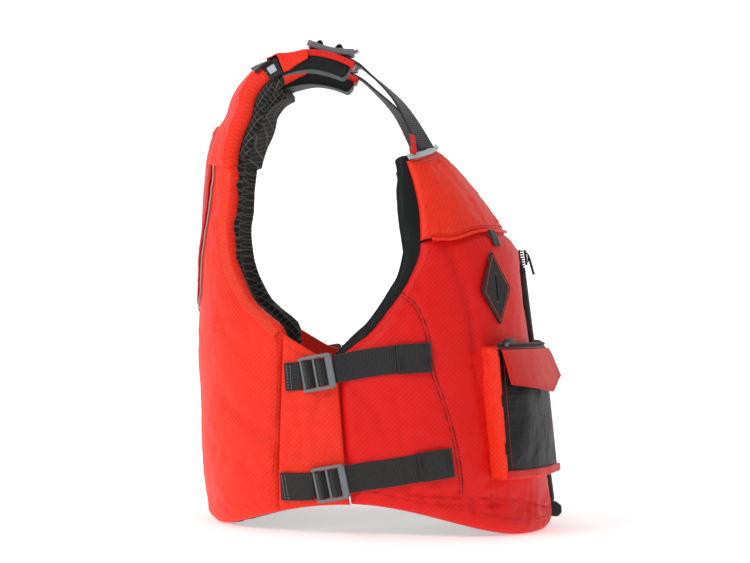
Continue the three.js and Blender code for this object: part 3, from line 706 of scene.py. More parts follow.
@dataclass(frozen=True)
class Moulded(Finish):
    """Moulded plastic or rubber with a fine grain."""

    name: str
    colour: tuple[int, int, int]
    roughness: float = 0.35
    grain: float = 0.05
    size: float = 1.4

    def build(self) -> bpy.types.Material:
        """The material: a slightly uneven colour, grain and flow marks."""
        r = Recipe(self.name, linear(*self.colour), self.roughness)
        darker = linear(*[int(c * 0.86) for c in self.colour])
        r.colour = r.tint(r.speckle(12.0, 4.0), darker, linear(*self.colour))
        r.raise_by(r.speckle(self.size, 2.0), self.grain)
        r.raise_by(r.speckle(9.0, 2.0), 0.15)
        rough = r.add("ShaderNodeMapRange", {0: r.speckle(7.0, 3.0), 3: self.roughness - 0.08,
                                             4: self.roughness + 0.1}).outputs[0]
        r.tree.links.new(rough, r.shader.inputs["Roughness"])
        return r.finished()


@dataclass(frozen=True)
class Reflector(Finish):
    """Pale woven tape with a fine raised grid."""

    name: str
    colour: tuple[int, int, int]

    def build(self) -> bpy.types.Material:
        """The material: small cells with a dull metal gloss."""
        r = Recipe(self.name, linear(*self.colour), 0.34)
        along, across = r.cloth()
        cells = r.math("MAXIMUM", r.lines(r.math("ADD", along, across), 2.0, 0.35),
                       r.lines(r.math("SUBTRACT", along, across), 2.0, 0.35))
        darker = linear(*[int(c * 0.82) for c in self.colour])
        r.colour = r.tint(cells, linear(*self.colour), darker)
        r.raise_by(cells, 0.08)
        r.shader.inputs["Metallic"].default_value = 0.15
        return r.finished()


@dataclass(frozen=True)
class Thread(Finish):
    """Twisted sewing thread."""

    name: str
    colour: tuple[int, int, int]

    def build(self) -> bpy.types.Material:
        """The material: a soft uneven colour."""
        r = Recipe(self.name, linear(*self.colour), 0.6)
        darker = linear(*[int(c * 0.7) for c in self.colour])
        r.colour = r.tint(r.speckle(1.0, 2.0), darker, linear(*self.colour))
        r.raise_by(r.speckle(0.5, 1.0), 0.08)
        return r.finished()


BACK_RED = Ripstop("red_ripstop", (252, 46, 20), (240, 36, 16), (255, 66, 34))
# The front panels' ripstop is the back's red cloth, coloured darker and deeper red as painted shade for the front
# turned away from the key light.
FRONT_RED_PAINTED_SHADE = Ripstop("front_red_painted_shade", (236, 14, 9), (222, 6, 8), (244, 32, 20))
YOKE_RED = Ripstop("yoke_ripstop", (253, 50, 22), (244, 38, 18), (255, 66, 36))
FLAP_RED = Ripstop("flap_ripstop", (232, 30, 20), (212, 20, 16), (238, 48, 34))
GUSSET_RED = Ripstop("gusset_nylon", (253, 50, 18), (238, 34, 16), (254, 70, 32), crinkle=0.6)
FACING_RED = Ripstop("facing_tape", (253, 62, 34), (246, 50, 28), (255, 80, 50), crinkle=0.15)
POCKET_BLACK = Ripstop("black_ripstop", (15, 14, 14), (10, 10, 10), (30, 28, 28), cell=5.0, diagonal=False)
BLACK_SATIN = Satin("black_satin", (36, 39, 38))
MESH = OpenMesh("grey_mesh", (112, 112, 104), (15, 14, 12))
STRAP = Webbing("black_webbing", (19, 18, 17))
TAPE = Webbing("zip_tape", (24, 23, 23), rib=1.2, depth=0.12)
BINDING = Webbing("grey_binding", (92, 92, 88), rib=1.6, depth=0.2)
GREY_PLASTIC = Moulded("grey_plastic", (122, 127, 131), 0.3)
BLACK_PLASTIC = Moulded("black_plastic", (26, 26, 26), 0.34)
DULL_METAL = Moulded("zip_box_grey", (150, 156, 160), 0.3)
TAB_RUBBER = Moulded("tab_rubber", (34, 32, 33), 0.6, 0.12, 0.9)
REFLECTIVE = Reflector("reflective_tape", (196, 206, 209))
PIPING = Moulded("pale_piping", (176, 170, 164), 0.5)
BLACK_THREAD = Thread("black_thread", (24, 22, 22))
RED_THREAD = Thread("red_thread", (214, 34, 22))
ORANGE_THREAD = Thread("orange_thread", (236, 70, 34))
GREY_THREAD = Thread("grey_thread", (150, 150, 148))


# ---- Padded panels, straps and stitches ----------------------------------------------


@dataclass(frozen=True)
class Fold:
    """A seam or crease along a line on the form, with puckers beside it."""

    route: tuple[tuple[float, float], ...]
    depth: float = 2.2
    width: float = 5.0
    pucker: float = 1.0

    def dip(self, base: Points) -> Points:
        """How far the cloth lies below its height at points of the form."""
        line = on_form(self.route).spaced(1.5)
        samples = FORM.point(line[:, 0], line[:, 1])
        distance, index = nearest(base, samples)
        beside = np.stack([index * 1.5 / 7.0, distance / 22.0, np.full(distance.shape, self.depth)], -1)
        waves = np.array([noise.noise(Vector(p)) for p in beside.reshape(-1, 3)]).reshape(distance.shape)
        gather = self.pucker * 2.2 * waves * np.exp(-((distance / 13.0) ** 2)) * smooth_step(distance, 0, 3)
        return self.depth * np.exp(-((distance / self.width) ** 2)) - gather


@dataclass
class Cushion:
    """Foam between two cloths: full in the middle and rounded to a seam at its edge."""

    patch: Patch
    outside: float = 0.0
    inside: float = -25.9
    seam_at: float = -13.0
    roll: float = 15.0
    crown: float = 2.5
    crumple: float = 1.0
    pucker: float = 1.0
    folds: tuple[Fold, ...] = ()
    seed: float = 3.0

    def _rim(self) -> Points:
        """Points round the edge, on the form."""
        rim = self.patch.rim()
        return FORM.point(rim[:, 0], rim[:, 1])

    def fullness(self, distance: Points) -> Points:
        """How full the panel is at a distance from its edge, from 0 to 1."""
        x = np.clip(distance / self.roll, 0, 1)
        return np.sqrt(np.maximum(0, 1 - (1 - x) ** 2))

    def outer(self, angle: Points, height: Points) -> Points:
        """The offset of the outer cloth at angles and heights."""
        base = FORM.point(angle, height)
        distance, index = nearest(base, self._rim())
        full = self.fullness(distance)
        swell = self.crown * smooth_step(distance, 0, 60)
        beside = np.stack([index * 0.35, distance / 26.0, np.full(distance.shape, self.seed)], -1)
        waves = np.array([noise.noise(Vector(p)) for p in beside.reshape(-1, 3)]).reshape(distance.shape)
        gather = self.pucker * 2.0 * waves * np.exp(-((distance / 16.0) ** 2)) * smooth_step(distance, 0, 6)
        soft = ripple(base, 58.0, self.seed) * 1.3 + ripple(base, 23.0, self.seed + 5, True) * 0.55
        soft = soft + ripple(base, 11.0, self.seed + 9) * 0.22
        lift = (self.outside - self.seam_at) * full + self.seam_at
        lift = lift + swell + (self.crumple * soft + gather) * smooth_step(distance, 0, 12)
        for fold in self.folds:
            lift = lift - fold.dip(base) * smooth_step(distance, 0, 8)
        return lift

    def inner(self, angle: Points, height: Points) -> Points:
        """The offset of the inner face."""
        base = FORM.point(angle, height)
        distance = nearest(base, self._rim())[0]
        return self.seam_at + (self.inside - self.seam_at) * self.fullness(distance * 1.3)

    def _grid(self, columns: int, rows: int) -> tuple[Points, Points]:
        """Angles and heights of a grid that is closer near the edges."""
        def graded(count: int) -> Points:
            t = np.linspace(0, 1, count)
            return t - 0.75 * np.sin(2 * np.pi * t) / (2 * np.pi)
        places = self.patch.at(graded(columns), graded(rows))
        return places[..., 0], places[..., 1]

    def build(self, name: str, finish: Finish, columns: int = 70, rows: int = 60) -> bpy.types.Object:
        """The padded piece as one closed mesh."""
        angle, height = self._grid(columns, rows)
        top, low = self.outer(angle, height), self.inner(angle, height)
        for edge in (np.s_[0, :], np.s_[-1, :], np.s_[:, 0], np.s_[:, -1]):
            top[edge] = low[edge] = self.seam_at
        outer, inner = FORM.point(angle, height, top), FORM.point(angle, height, low)
        count = outer.shape[0] * outer.shape[1]
        faces = grid_faces(*angle.shape) + grid_faces(*angle.shape, count, True)
        points = np.concatenate([outer.reshape(-1, 3), inner.reshape(-1, 3)])
        return make_piece(name, points, faces, finish, weld=True)

    def lining(self, name: str, finish: Finish, columns: int = 50, rows: int = 44) -> bpy.types.Object:
        """The lining that lies inside the cushion."""
        angle, height = self._grid(columns, rows)
        low = self.inner(angle, height) - 0.4
        soft = ripple(FORM.point(angle, height), 26.0, self.seed + 2) * 0.5
        low = np.minimum(low, self.inside * 0.75) if self.inside > -5 else low
        outer = FORM.point(angle, height, low)
        inner = FORM.point(angle, height, low - 1.5 - np.abs(soft))
        points, faces = closed_sheet(outer, inner)
        return make_piece(name, points, faces, finish)


def sheet_on_form(name: str, patch: Patch, finish: Finish, thickness: float,
                  lift: Callable[[Points, Points], Points], columns: int = 40,
                  rows: int = 30) -> bpy.types.Object:
    """A closed sheet of cloth lying over the form at a lift that varies over it."""
    places = patch.at(np.linspace(0, 1, columns), np.linspace(0, 1, rows))
    angle, height = places[..., 0], places[..., 1]
    raised = lift(angle, height)
    outer = FORM.point(angle, height, raised + thickness)
    points, faces = closed_sheet(outer, FORM.point(angle, height, raised))
    return make_piece(name, points, faces, finish)


def strap_on_form(name: str, route: Sequence[tuple[float, float]], finish: Finish, width: float,
                  thickness: float, lift: Callable[[Points, Points], Points] | float,
                  corner: float = 0.9, step: float = 2.5) -> bpy.types.Object:
    """A flat strap along a line on the form."""
    line = on_form(route).spaced(step)
    angle, height = line[:, 0], line[:, 1]
    raised = lift(angle, height) if callable(lift) else np.full(len(line), float(lift))
    path = FORM.point(angle, height, raised + thickness / 2)
    return strap_piece(name, path, FORM.normal(angle, height), finish, width, thickness, corner)


def strap_piece(name: str, path: Points, normals: Points, finish: Finish, width: float, thickness: float,
                corner: float = 0.9, **more: object) -> bpy.types.Object:
    """A strap along any path, with ribs that follow it."""
    points, faces, weave = sweep(path, normals, outline(width, thickness, corner), **more)
    return make_piece(name, points, faces, finish, weave)


def stitches(name: str, routes: Sequence[tuple[Points, Points]], finish: Finish, pitch: float = 3.4,
             length: float = 2.5, radius: float = 0.42) -> bpy.types.Object:
    """Separate sewn stitches along routes, each given as points and outward directions."""
    section = outline(radius * 2, radius * 1.6, radius * 0.7, across=1)
    parts = []
    for points, normals in routes:
        line = Line(points)
        heads = Line(normals)
        count = max(1, int(line.length / MM / pitch))
        for k in range(count):
            middle = (k + 0.5) / count
            half = length * MM / 2 / line.length
            shares = np.clip(np.array([middle - half, middle, middle + half]), 0, 1)
            path = line.at(shares)
            out = unit(heads.at(shares))
            path = path + out * np.array([[-0.1], [0.25], [-0.1]]) * radius * 2 * MM
            parts.append(sweep(path, out, section, widen=np.array([0.55, 1.0, 0.55])))
    points, faces, weave = joined(parts)
    return make_piece(name, points, faces, finish, weave)


def seam_route(route: Sequence[tuple[float, float]], lift: Callable[[Points, Points], Points] | float,
               shift: float = 0.0) -> tuple[Points, Points]:
    """A stitching route along a line on the form, beside it by a shift in millimetres."""
    line = on_form(route)
    t = np.linspace(0, 1, max(6, int(line.length / 6)))
    places = line.at(t) * np.array([PER_DEGREE, 1.0])
    tangent = unit(np.gradient(places, axis=0))
    places = places + np.stack([-tangent[:, 1], tangent[:, 0]], -1) * shift
    angle, height = places[:, 0] / PER_DEGREE, places[:, 1]
    raised = lift(angle, height) if callable(lift) else lift
    return FORM.point(angle, height, raised), FORM.normal(angle, height)


# ---- The back ------------------------------------------------------------------------


SEAM_GAP = 1.2
SIDE_LOW = 121.5
FRONT_EDGE = 97.5

BACK_SIDE = ((118.5, 90), (115.6, 170), (114.6, 207))
BACK_ARMHOLE = ((121.4, 226), (126.9, 239), (133.8, 268), (137.9, 294), (138.9, 317), (136.4, 337),
                (134.7, 364), (131.7, 396), (130.5, 428))
NECK_BACK = ((130.5, 428), (143, 433), (157, 432), (167, 424), (180, 420))


def across_back(points: Sequence[tuple[float, float]]) -> list[tuple[float, float]]:
    """The same line on the other side of the centre back."""
    return [(360 - a, h) for a, h in points]


@dataclass
class BackPanel:
    """The back: one padded panel, its mesh lining, hem, yoke flap and piping."""

    cloth_lift: float = 0.5
    facing_width: float = 10.0

    def cushion(self) -> Cushion:
        """The padded panel over the whole back."""
        low = (SIDE_LOW, float(FORM.hem(SIDE_LOW)))
        edge = on_form([low, *BACK_SIDE, *BACK_ARMHOLE])
        far = on_form(across_back([low, *BACK_SIDE, *BACK_ARMHOLE]))
        top = on_form([*NECK_BACK, *across_back(NECK_BACK[:-1])[::-1]])
        patch = Patch(hem_edge(SIDE_LOW, 360 - SIDE_LOW, 0.0), top.at, edge.at, far.at)
        crease = ((138.5, 133), (131, 117), (119.6, 98))
        folds = (
            Fold(crease, 2.4, 7.0, 0.8), Fold(tuple(across_back(crease)), 2.0, 8.0, 0.8),
            Fold(((127, 60), (134, 74), (146, 80)), 1.2, 6.0, 0.6),
            Fold(((121, 180), (131, 192), (139, 214)), 1.2, 7.0, 0.6),
        )
        return Cushion(patch, outside=-3.6, crown=1.2, crumple=1.25, pucker=1.6, folds=folds, seed=3.0)

    def build(self) -> None:
        """Makes every piece of the back."""
        cushion = self.cushion()
        fit(cushion.build("back_panel", BACK_RED, 130, 96),
            Fit("back", "shell_cloth", ("back_shell", "back_foam", "back_hem_band"), fill=0.85))
        fit(cushion.lining("back_mesh", MESH, 90, 70), Fit("back", "mesh_lining", ("back_mesh_lining",),
                                                           fill=0.1))
        self.yoke(cushion)
        self.armhole(cushion)

    def yoke(self, cushion: Cushion) -> None:
        """The flap over the shoulder blades, and the reflective piping below it."""
        side = [(142, 422), (144.5, 400), (150, 350), (154.6, 313), (160, 255)]
        foot = [(160, 255), (167, 236), (180, 229)]
        top = [(142, 422), (157, 424), (180, 412), (203, 424), (218, 422)]
        patch = Patch(on_form([*foot, *across_back(foot[:-1])[::-1]]).at, on_form(top).at,
                      on_form(side[::-1]).at, on_form(across_back(side[::-1])).at)

        def lift(angle: Points, height: Points) -> Points:
            """The flap's free edge stands a little off the panel."""
            base = FORM.point(angle, height)
            rim = patch.rim()
            distance = nearest(base, FORM.point(rim[:, 0], rim[:, 1]))[0]
            free = 0.9 * (1 - smooth_step(distance, 0, 24)) * (1 - smooth_step(height, 395, 425))
            return cushion.outer(angle, height) + self.cloth_lift + free + ripple(base, 40, 21) * 0.5

        flap = sheet_on_form("back_yoke", patch, FLAP_RED, 1.5, lift, 70, 60)
        outline_flat = [*side, *foot[1:], *across_back(foot[:-1])[::-1], *across_back(side[:-1])[::-1],
                        *top[1:-1][::-1]]
        flat = pattern([(a * PER_DEGREE, h) for a, h in outline_flat])
        fit(flap, Fit("back", "flap_cloth", ("back_yoke_flap",), **flat, held="laid",
                      rests_on=("back_panel",)))
        route = [(140.6, 412.6), (142.7, 396.6), (148.2, 347.6), (152.8, 310.6), (158.2, 251.6), (165.8, 230.1),
                 (180, 222.6)]
        whole = [*route, *across_back(route[:-1])[::-1]]
        piping = strap_on_form("back_piping", whole, PIPING, 2.6, 1.6,
                               lambda a, h: cushion.outer(a, h) + 0.3, 0.8)
        fit(piping, Fit("back", "reflective_tape", ("back_reflective_piping",)))
        inner = [(a + 1.7, h + 1) for a, h in side[1:]]
        rows = [seam_route(inner, lambda a, h: lift(a, h) + 1.5), seam_route(across_back(inner),
                lambda a, h: lift(a, h) + 1.5)]
        fit(stitches("back_yoke_stitching", rows, RED_THREAD), Fit("back", "flap_cloth"))

    def armhole(self, cushion: Cushion) -> None:
        """The facing tape round the armhole, and the stitching beside it and the side seam."""
        facing = on_form([(115.2, 208), *BACK_ARMHOLE])
        inset = 4.8
        t = np.linspace(0.0, 1.0, 120)
        places = facing.at(t) * np.array([PER_DEGREE, 1.0])
        tangent = unit(np.gradient(places, axis=0))
        inward = np.stack([tangent[:, 1], -tangent[:, 0]], -1)
        places = places + inward * inset
        angle, height = places[:, 0] / PER_DEGREE, places[:, 1]
        raised = cushion.outer(angle, height)
        path = FORM.point(angle, height, raised + 0.5)
        lower = FORM.point(angle - 1.2 * inward[:, 0], height - 1.2 * inward[:, 1] * PER_DEGREE,
                           cushion.outer(angle - 1.2 * inward[:, 0], height - 1.2 * inward[:, 1] * PER_DEGREE))
        slope = unit(path - lower)
        normals = unit(np.cross(np.gradient(path, axis=0), slope))
        outward = FORM.normal(angle, height)
        normals = normals * np.sign((normals * outward).sum(-1))[:, None]
        tape = strap_piece("right_armhole_facing", path, normals, FACING_RED, self.facing_width, 1.3, 0.6)
        fit_pair(tape, Fit("back", "shell_cloth"))
        beside = [(a + 2.9, h) for a, h in BACK_ARMHOLE]
        seam = [(a + 1.3, h) for a, h in ((120.5, 60), (118.5, 90), (115.6, 170), (115.0, 200))]
        rows = [seam_route(line, lambda a, h: cushion.outer(a, h)) for line in (beside, seam)]
        fit_pair(stitches("right_back_stitching", rows, RED_THREAD), Fit("back", "shell_cloth"))


# ---- The sides -----------------------------------------------------------------------


def side_bend(height: float) -> tuple[str, Points, Points]:
    """Where cloth on the side turns from the back to the swinging front."""
    return ("*_front", FORM.point(111.0, height), FORM.point(98.5, height))


@dataclass
class SidePanel:
    """The thin soft panel under the arm, gathered between the back and the front."""

    depth: float = 5.0

    def build(self) -> None:
        """Makes both side panels."""
        gap = SEAM_GAP / PER_DEGREE
        start, end, low_end = FRONT_EDGE + gap * 0.4, 114.0, 120.8
        top = on_form([(start, 183), (103, 185), (109, 196), (end, 206)])
        far = on_form([(low_end, float(FORM.hem(low_end))), (117.8, 90), (115.0, 170), (end, 206)])
        near = straight((start, float(FORM.hem(start))), (start, 183))
        patch = Patch(hem_edge(start, low_end, 0), top.at, near, far.at)
        folds = (
            Fold(((100, 160), (106, 120), (107, 70)), 1.4, 4.5, 1.2),
            Fold(((112, 150), (110, 112), (111, 80)), 1.2, 4.0, 1.2),
            Fold(((99.5, 130), (104, 138), (112, 136)), 1.3, 4.0, 0.8),
            Fold(((100, 96), (106, 104), (115, 98)), 1.1, 4.0, 0.8),
        )
        cushion = Cushion(patch, inside=-5.0, seam_at=-3.2, roll=6.0, crown=1.6, crumple=1.5, pucker=1.6,
                          folds=folds, seed=14)
        panel = cushion.build("right_side_cloth", BACK_RED, 40, 64)
        fit_pair(panel, Fit("back", "shell_cloth", ("*_side_panel",), bend=side_bend(100.0), fill=0.2))


# ---- The front -----------------------------------------------------------------------


FRONT_ARMHOLE = ((FRONT_EDGE, 184), (92.5, 196), (86.3, 212), (78.6, 242), (73.4, 265), (69.8, 289),
                 (68.4, 303))
YOKE_SEAM = ((68.4, 305), (64.8, 308), (57.4, 309), (52, 313), (45, 318), (32, 320), (14, 320))
PRINCESS = ((61.2, 307), (58.7, 291), (57.1, 270), (54.8, 232), (53.9, 205), (54.5, 187), (53.8, 162),
            (52.9, 142), (51, 60), (50.5, 26))
BLACK_SEAM = ((76.5, 251), (72.4, 239), (70.4, 223), (69.2, 207), (69.2, 191), (68.2, 168), (66, 142),
              (63.8, 107), (62.5, 66), (62.4, 45))
HEM_CASING = ((79.2, 46), (62, 43), (46, 41), (29, 32), (12, 24))
ZIP_BOTTOM, ZIP_TOP = 26.0, 282.0
TAPE_WIDTH = 14.0
NECK_CORNER = 303.0
YOKE_TOP_OUT, YOKE_TOP_IN = (61.8, 388.0), (38.0, 403.0)


@dataclass
class FrontHalf:
    """One front half below the yoke: padded cloth with a shaped seam, lining and hem."""

    edge_gap: float = 15.6

    def zip_angle(self, height: Points) -> Points:
        """The angle of the edge beside the zip."""
        return FORM.beside_zip(height, self.edge_gap)

    def cushion(self) -> Cushion:
        """The padded panel."""
        low = 0.0
        zip_low = float(self.zip_angle(np.array(low)))

        def beside_zip(t: Points) -> Points:
            """The edge beside the zip."""
            height = low + (NECK_CORNER - low) * np.asarray(t)
            return np.stack([self.zip_angle(height), height], -1)

        seam = [(a, h - SEAM_GAP) for a, h in YOKE_SEAM]
        corner = (float(self.zip_angle(np.array(NECK_CORNER))), NECK_CORNER)
        top = on_form([*FRONT_ARMHOLE[:-1], *seam, corner])
        start = straight((FRONT_EDGE, float(FORM.hem(FRONT_EDGE))), (FRONT_EDGE, 184))
        patch = Patch(hem_edge(FRONT_EDGE, zip_low, low), top.at, start, beside_zip)
        folds = (
            Fold(PRINCESS, 3.4, 4.5, 1.3), Fold(BLACK_SEAM, 1.5, 3.0, 0.9),
            Fold(((80.5, 166), (79.8, 142), (79.4, 83), (79.2, 54)), 0.9, 3.0, 0.7),
            Fold(HEM_CASING, 1.8, 3.0, 1.6),
            Fold(tuple((a, h - 7.0) for a, h in HEM_CASING), 1.4, 3.0, 1.4),
            Fold(((92, 150), (86, 128), (84, 100)), 1.0, 6.0, 0.5),
        )
        return Cushion(patch, crown=3.0, crumple=0.9, pucker=1.2, folds=folds, seed=31, roll=14)

    def build(self) -> Cushion:
        """Makes both front halves, and returns the cushion that other pieces lie on."""
        cushion = self.cushion()
        # The front panel's deeper red is painted shade on the same cloth as the back.
        panel = cushion.build("right_front_panel", FRONT_RED_PAINTED_SHADE, 110, 90)
        fit_pair(panel, Fit("*_front", "shell_cloth", ("*_front_shell", "*_front_foam", "*_front_hem_band"),
                            fill=0.85))
        lining = cushion.lining("right_front_satin", BLACK_SATIN, 60, 50)
        fit_pair(lining, Fit("*_front", "satin_lining", ("*_front_lining",), fill=0.1))
        black = [seam_route(BLACK_SEAM, cushion.outer, s) for s in (-1.8, 1.8)]
        fit_pair(stitches("right_black_stitching", black, BLACK_THREAD, 3.2, 2.6, 0.55), Fit("*_front", "shell_cloth"))
        edge = [(a - 2.6, h) for a, h in FRONT_ARMHOLE]
        red = [seam_route(PRINCESS, cushion.outer, 3.4), seam_route(edge, cushion.outer),
               seam_route(HEM_CASING, cushion.outer, 2.5),
               seam_route(((94, float(FORM.hem(94)) + 16.5), (60, float(FORM.hem(60)) + 16.5), (40, 16.7),
                           (12, 16.5)), cushion.outer)]
        fit_pair(stitches("right_front_stitching", red, RED_THREAD), Fit("*_front", "shell_cloth"))
        return cushion


@dataclass(frozen=True)
class ArmholeRoll:
    """The black satin that rolls out of the front armhole, thickest beside the chest."""

    route: tuple[tuple[float, float, float], ...] = (
        (97.0, 182, 7), (92.0, 195, 9), (85.8, 212, 10), (78.1, 242, 11), (73.1, 265, 12), (69.8, 289, 15),
        (68.2, 305, 18), (66.0, 330, 20), (64.2, 352, 18), (62.8, 372, 11), (61.8, 390, 6))
    depth: float = -14.5
    thickness: float = 15.0

    def build(self) -> None:
        """Makes both rolls."""
        line = Line(self.route, (PER_DEGREE, 1, 0.5)).spaced(3.0)
        angle, height, reach = line.T
        edge = FORM.point(angle, height, self.depth)
        tangent = unit(np.gradient(edge, axis=0))
        outward = FORM.normal(angle, height)
        beyond = unit(np.cross(tangent, outward))
        beyond = beyond * np.sign(beyond[:, 1:2] + 1e-6)
        wave = ripple(edge, 20, 41) * 1.2
        path = edge + beyond * ((reach - 14) / 2 + wave * 0.4)[:, None] * MM
        widths = (reach + 14) / 20
        points, faces, weave = sweep(path, outward, outline(20.0, self.thickness, 6.5, 8), widen=widths,
                                     thicken=1.0 + 0.05 * wave)
        fit_pair(make_piece("right_armhole_satin", points, faces, BLACK_SATIN, weave),
                 Fit("*_front", "satin_lining", fill=0.4))


@dataclass
class Yoke:
    """The chest piece above the seam, with its piping, tab and reflective band."""

    pad: float = 11.9

    def build(self) -> None:
        """Makes both yokes."""
        start = on_form([YOKE_SEAM[0], (64.9, 339), (63, 365), YOKE_TOP_OUT])
        end = on_form([YOKE_SEAM[-1], (20, 345), (28, 378), YOKE_TOP_IN])
        patch = Patch(on_form(YOKE_SEAM).at, straight(YOKE_TOP_OUT, YOKE_TOP_IN), start.at, end.at)
        folds = (Fold(((60, 330), (52, 350), (50, 384)), 0.9, 6.0, 0.6),
                 Fold(((40, 336), (43, 362), (46, 388)), 0.8, 7.0, 0.6))
        cushion = Cushion(patch, inside=-self.pad, seam_at=-5.5, roll=8, crown=3.4, crumple=0.8, pucker=1.2,
                          folds=folds, seed=52)
        fit_pair(cushion.build("right_yoke", YOKE_RED, 70, 60),
                 Fit("*_front", "shell_cloth", ("*_front_yoke", "*_yoke_pad"), fill=0.7))
        piping = strap_on_form("right_yoke_piping", [(a, h - 0.5) for a, h in YOKE_SEAM[1:]], YOKE_RED, 3.4, 2.6,
                               -1.4, 1.3)
        fit_pair(piping, Fit("*_front", "shell_cloth"))
        band = [(YOKE_TOP_OUT[0], YOKE_TOP_OUT[1] + 4.2), (50, 399.2), (YOKE_TOP_IN[0], YOKE_TOP_IN[1] + 4.2)]
        tape = strap_on_form("right_chest_reflector", band, REFLECTIVE, 6.0, 2.2, 0.2, 0.8)
        fit_pair(tape, Fit("*_front", "reflective_tape", ("*_reflective_band",)))
        tab = strap_on_form("right_yoke_tab", [(38.2, 319), (38.6, 312), (39.2, 303)], STRAP, 13.0, 2.2, 1.6, 0.8)
        fit_pair(tab, Fit("*_front", "webbing"))
        loop = strap_on_form("right_chest_loop", [(54.6, 416), (56.8, 406), (59.4, 396)], FLAP_RED, 6.5, 2.0, 3.0)
        fit_pair(loop, Fit("*_front", "flap_cloth"))
        rows = [seam_route([(a, h + 4.5) for a, h in YOKE_SEAM[1:]], cushion.outer),
                seam_route(((61, 384), (50, 391), (39.5, 398)), cushion.outer)]
        fit_pair(stitches("right_yoke_stitching", rows, RED_THREAD), Fit("*_front", "shell_cloth"))


# ---- Shoulders -----------------------------------------------------------------------


SPREAD = 98.0
PAD_WIDTH = 62.0
PAD_THICKNESS = 17.0
SHOULDER = ((151, 438), (146, 458), (131, 479), (113, 491), (92, 498), (70, 501), (44, 497), (21, 488),
            (6, 478), (-8, 464))


class ShoulderLine:
    """The line over the top of the wearer's right shoulder pad, from the back to the front."""

    def __init__(self, before: Sequence[tuple[float, float]] = ()) -> None:
        """Takes points that come before the pad's own start."""
        points = [*before, *SHOULDER]
        self.line = Line([(-SPREAD, y + FORM.shift, z) for y, z in points], (1, 1, 1))

    def at(self, share: Points, lift: Points | float = 0.0, sideways: Points | float = 0.0) -> Points:
        """Points in metres at shares of the line, lifted along its outward direction."""
        share = np.asarray(share, float)
        across, out = self.directions(share)
        lift = np.broadcast_to(np.asarray(lift, float), share.shape)[..., None]
        sideways = np.broadcast_to(np.asarray(sideways, float), share.shape)[..., None]
        return (self.line.at(share) + out * lift + across * sideways) * MM

    def directions(self, share: Points) -> tuple[Points, Points]:
        """The directions across the strap and out of it."""
        share = np.asarray(share, float)
        small = 0.004
        along = unit(self.line.at(np.clip(share + small, 0, 1)) - self.line.at(np.clip(share - small, 0, 1)))
        turn = np.radians(24 * (1 - np.clip(share / 0.795, 0, 1)))
        across = np.stack([np.cos(turn), np.sin(turn), np.zeros_like(turn)], -1)
        out = unit(np.cross(across, along))
        out = out * np.where(out[..., 2:] < 0, -1.0, 1.0)
        return across, out


LINE = ShoulderLine()
LOWER_LINE = ShoulderLine(((168, 372), (166, 396), (159, 420)))
LEAD = 1 - LINE.line.length / LOWER_LINE.line.length


def from_below(share: float) -> float:
    """A share of the shoulder line, counted on the line that starts lower on the back."""
    return LEAD + (1 - LEAD) * share


def shoulder_block(name: str, start: float, end: float, width: float, below: float, above: float,
                   finish: Finish, roll: float = 6.0, puff: float = 1.5, seams: Sequence[float] = (),
                   seed: float = 61.0, rows: int = 60, columns: int = 28,
                   line: ShoulderLine | None = None) -> bpy.types.Object:
    """A padded length of shoulder strap.

    Args:
        name: the piece's name.
        start, end: shares of the shoulder line.
        width: across the strap.
        below, above: its lower and upper face from the line.
        finish: its material.
        roll: how round its edges are.
        puff: how far it swells between its seams.
        seams: shares of the piece's length with a sewn channel across it.
        seed: which wrinkles it has.
        rows, columns: how fine the mesh is.
        line: the line that the shares are counted on, or None for the shoulder line.

    Returns:
        The closed piece.
    """
    line = line or LINE
    t = np.linspace(0, 1, rows)
    u = np.linspace(-1, 1, columns)
    u = u + 0.25 * np.sin(np.pi * u) / np.pi * -1.0
    T, U = np.meshgrid(t, u, indexing="ij")
    length = line.line.length * (end - start)
    from_side = (1 - np.abs(U)) * width / 2
    from_end = np.minimum(T, 1 - T) * length
    def full(distance: Points) -> Points:
        x = np.clip(distance / roll, 0, 1)
        return np.sqrt(np.maximum(0, 1 - (1 - x) ** 2))
    fullness = full(from_side) * full(from_end)
    channel = np.zeros_like(T)
    for seam in seams:
        channel = np.maximum(channel, np.exp(-(((T - seam) * length / 4.0) ** 2)))
    share = start + (end - start) * T
    middle = (below + above) / 2
    half = (above - below) / 2
    base = line.at(share, middle, U * width / 2)
    soft = ripple(base, 24.0, seed) * 0.8 + ripple(base, 10.0, seed + 4, True) * 0.4
    rise = half * fullness + (puff * smooth_step(from_side, 0, 22) + soft) * fullness - 2.2 * channel * fullness
    sink = -half * fullness
    outer = line.at(share, middle + rise, U * width / 2)
    inner = line.at(share, middle + sink, U * width / 2)
    weave = np.stack([share * line.line.length, U * width / 2, np.zeros_like(U)], -1) * MM
    count = rows * columns
    faces = grid_faces(rows, columns) + grid_faces(rows, columns, count, True)
    points = np.concatenate([outer.reshape(-1, 3), inner.reshape(-1, 3)])
    both = np.concatenate([weave.reshape(-1, 3), weave.reshape(-1, 3)])
    return make_piece(name, points, faces, finish, both, weld=True)


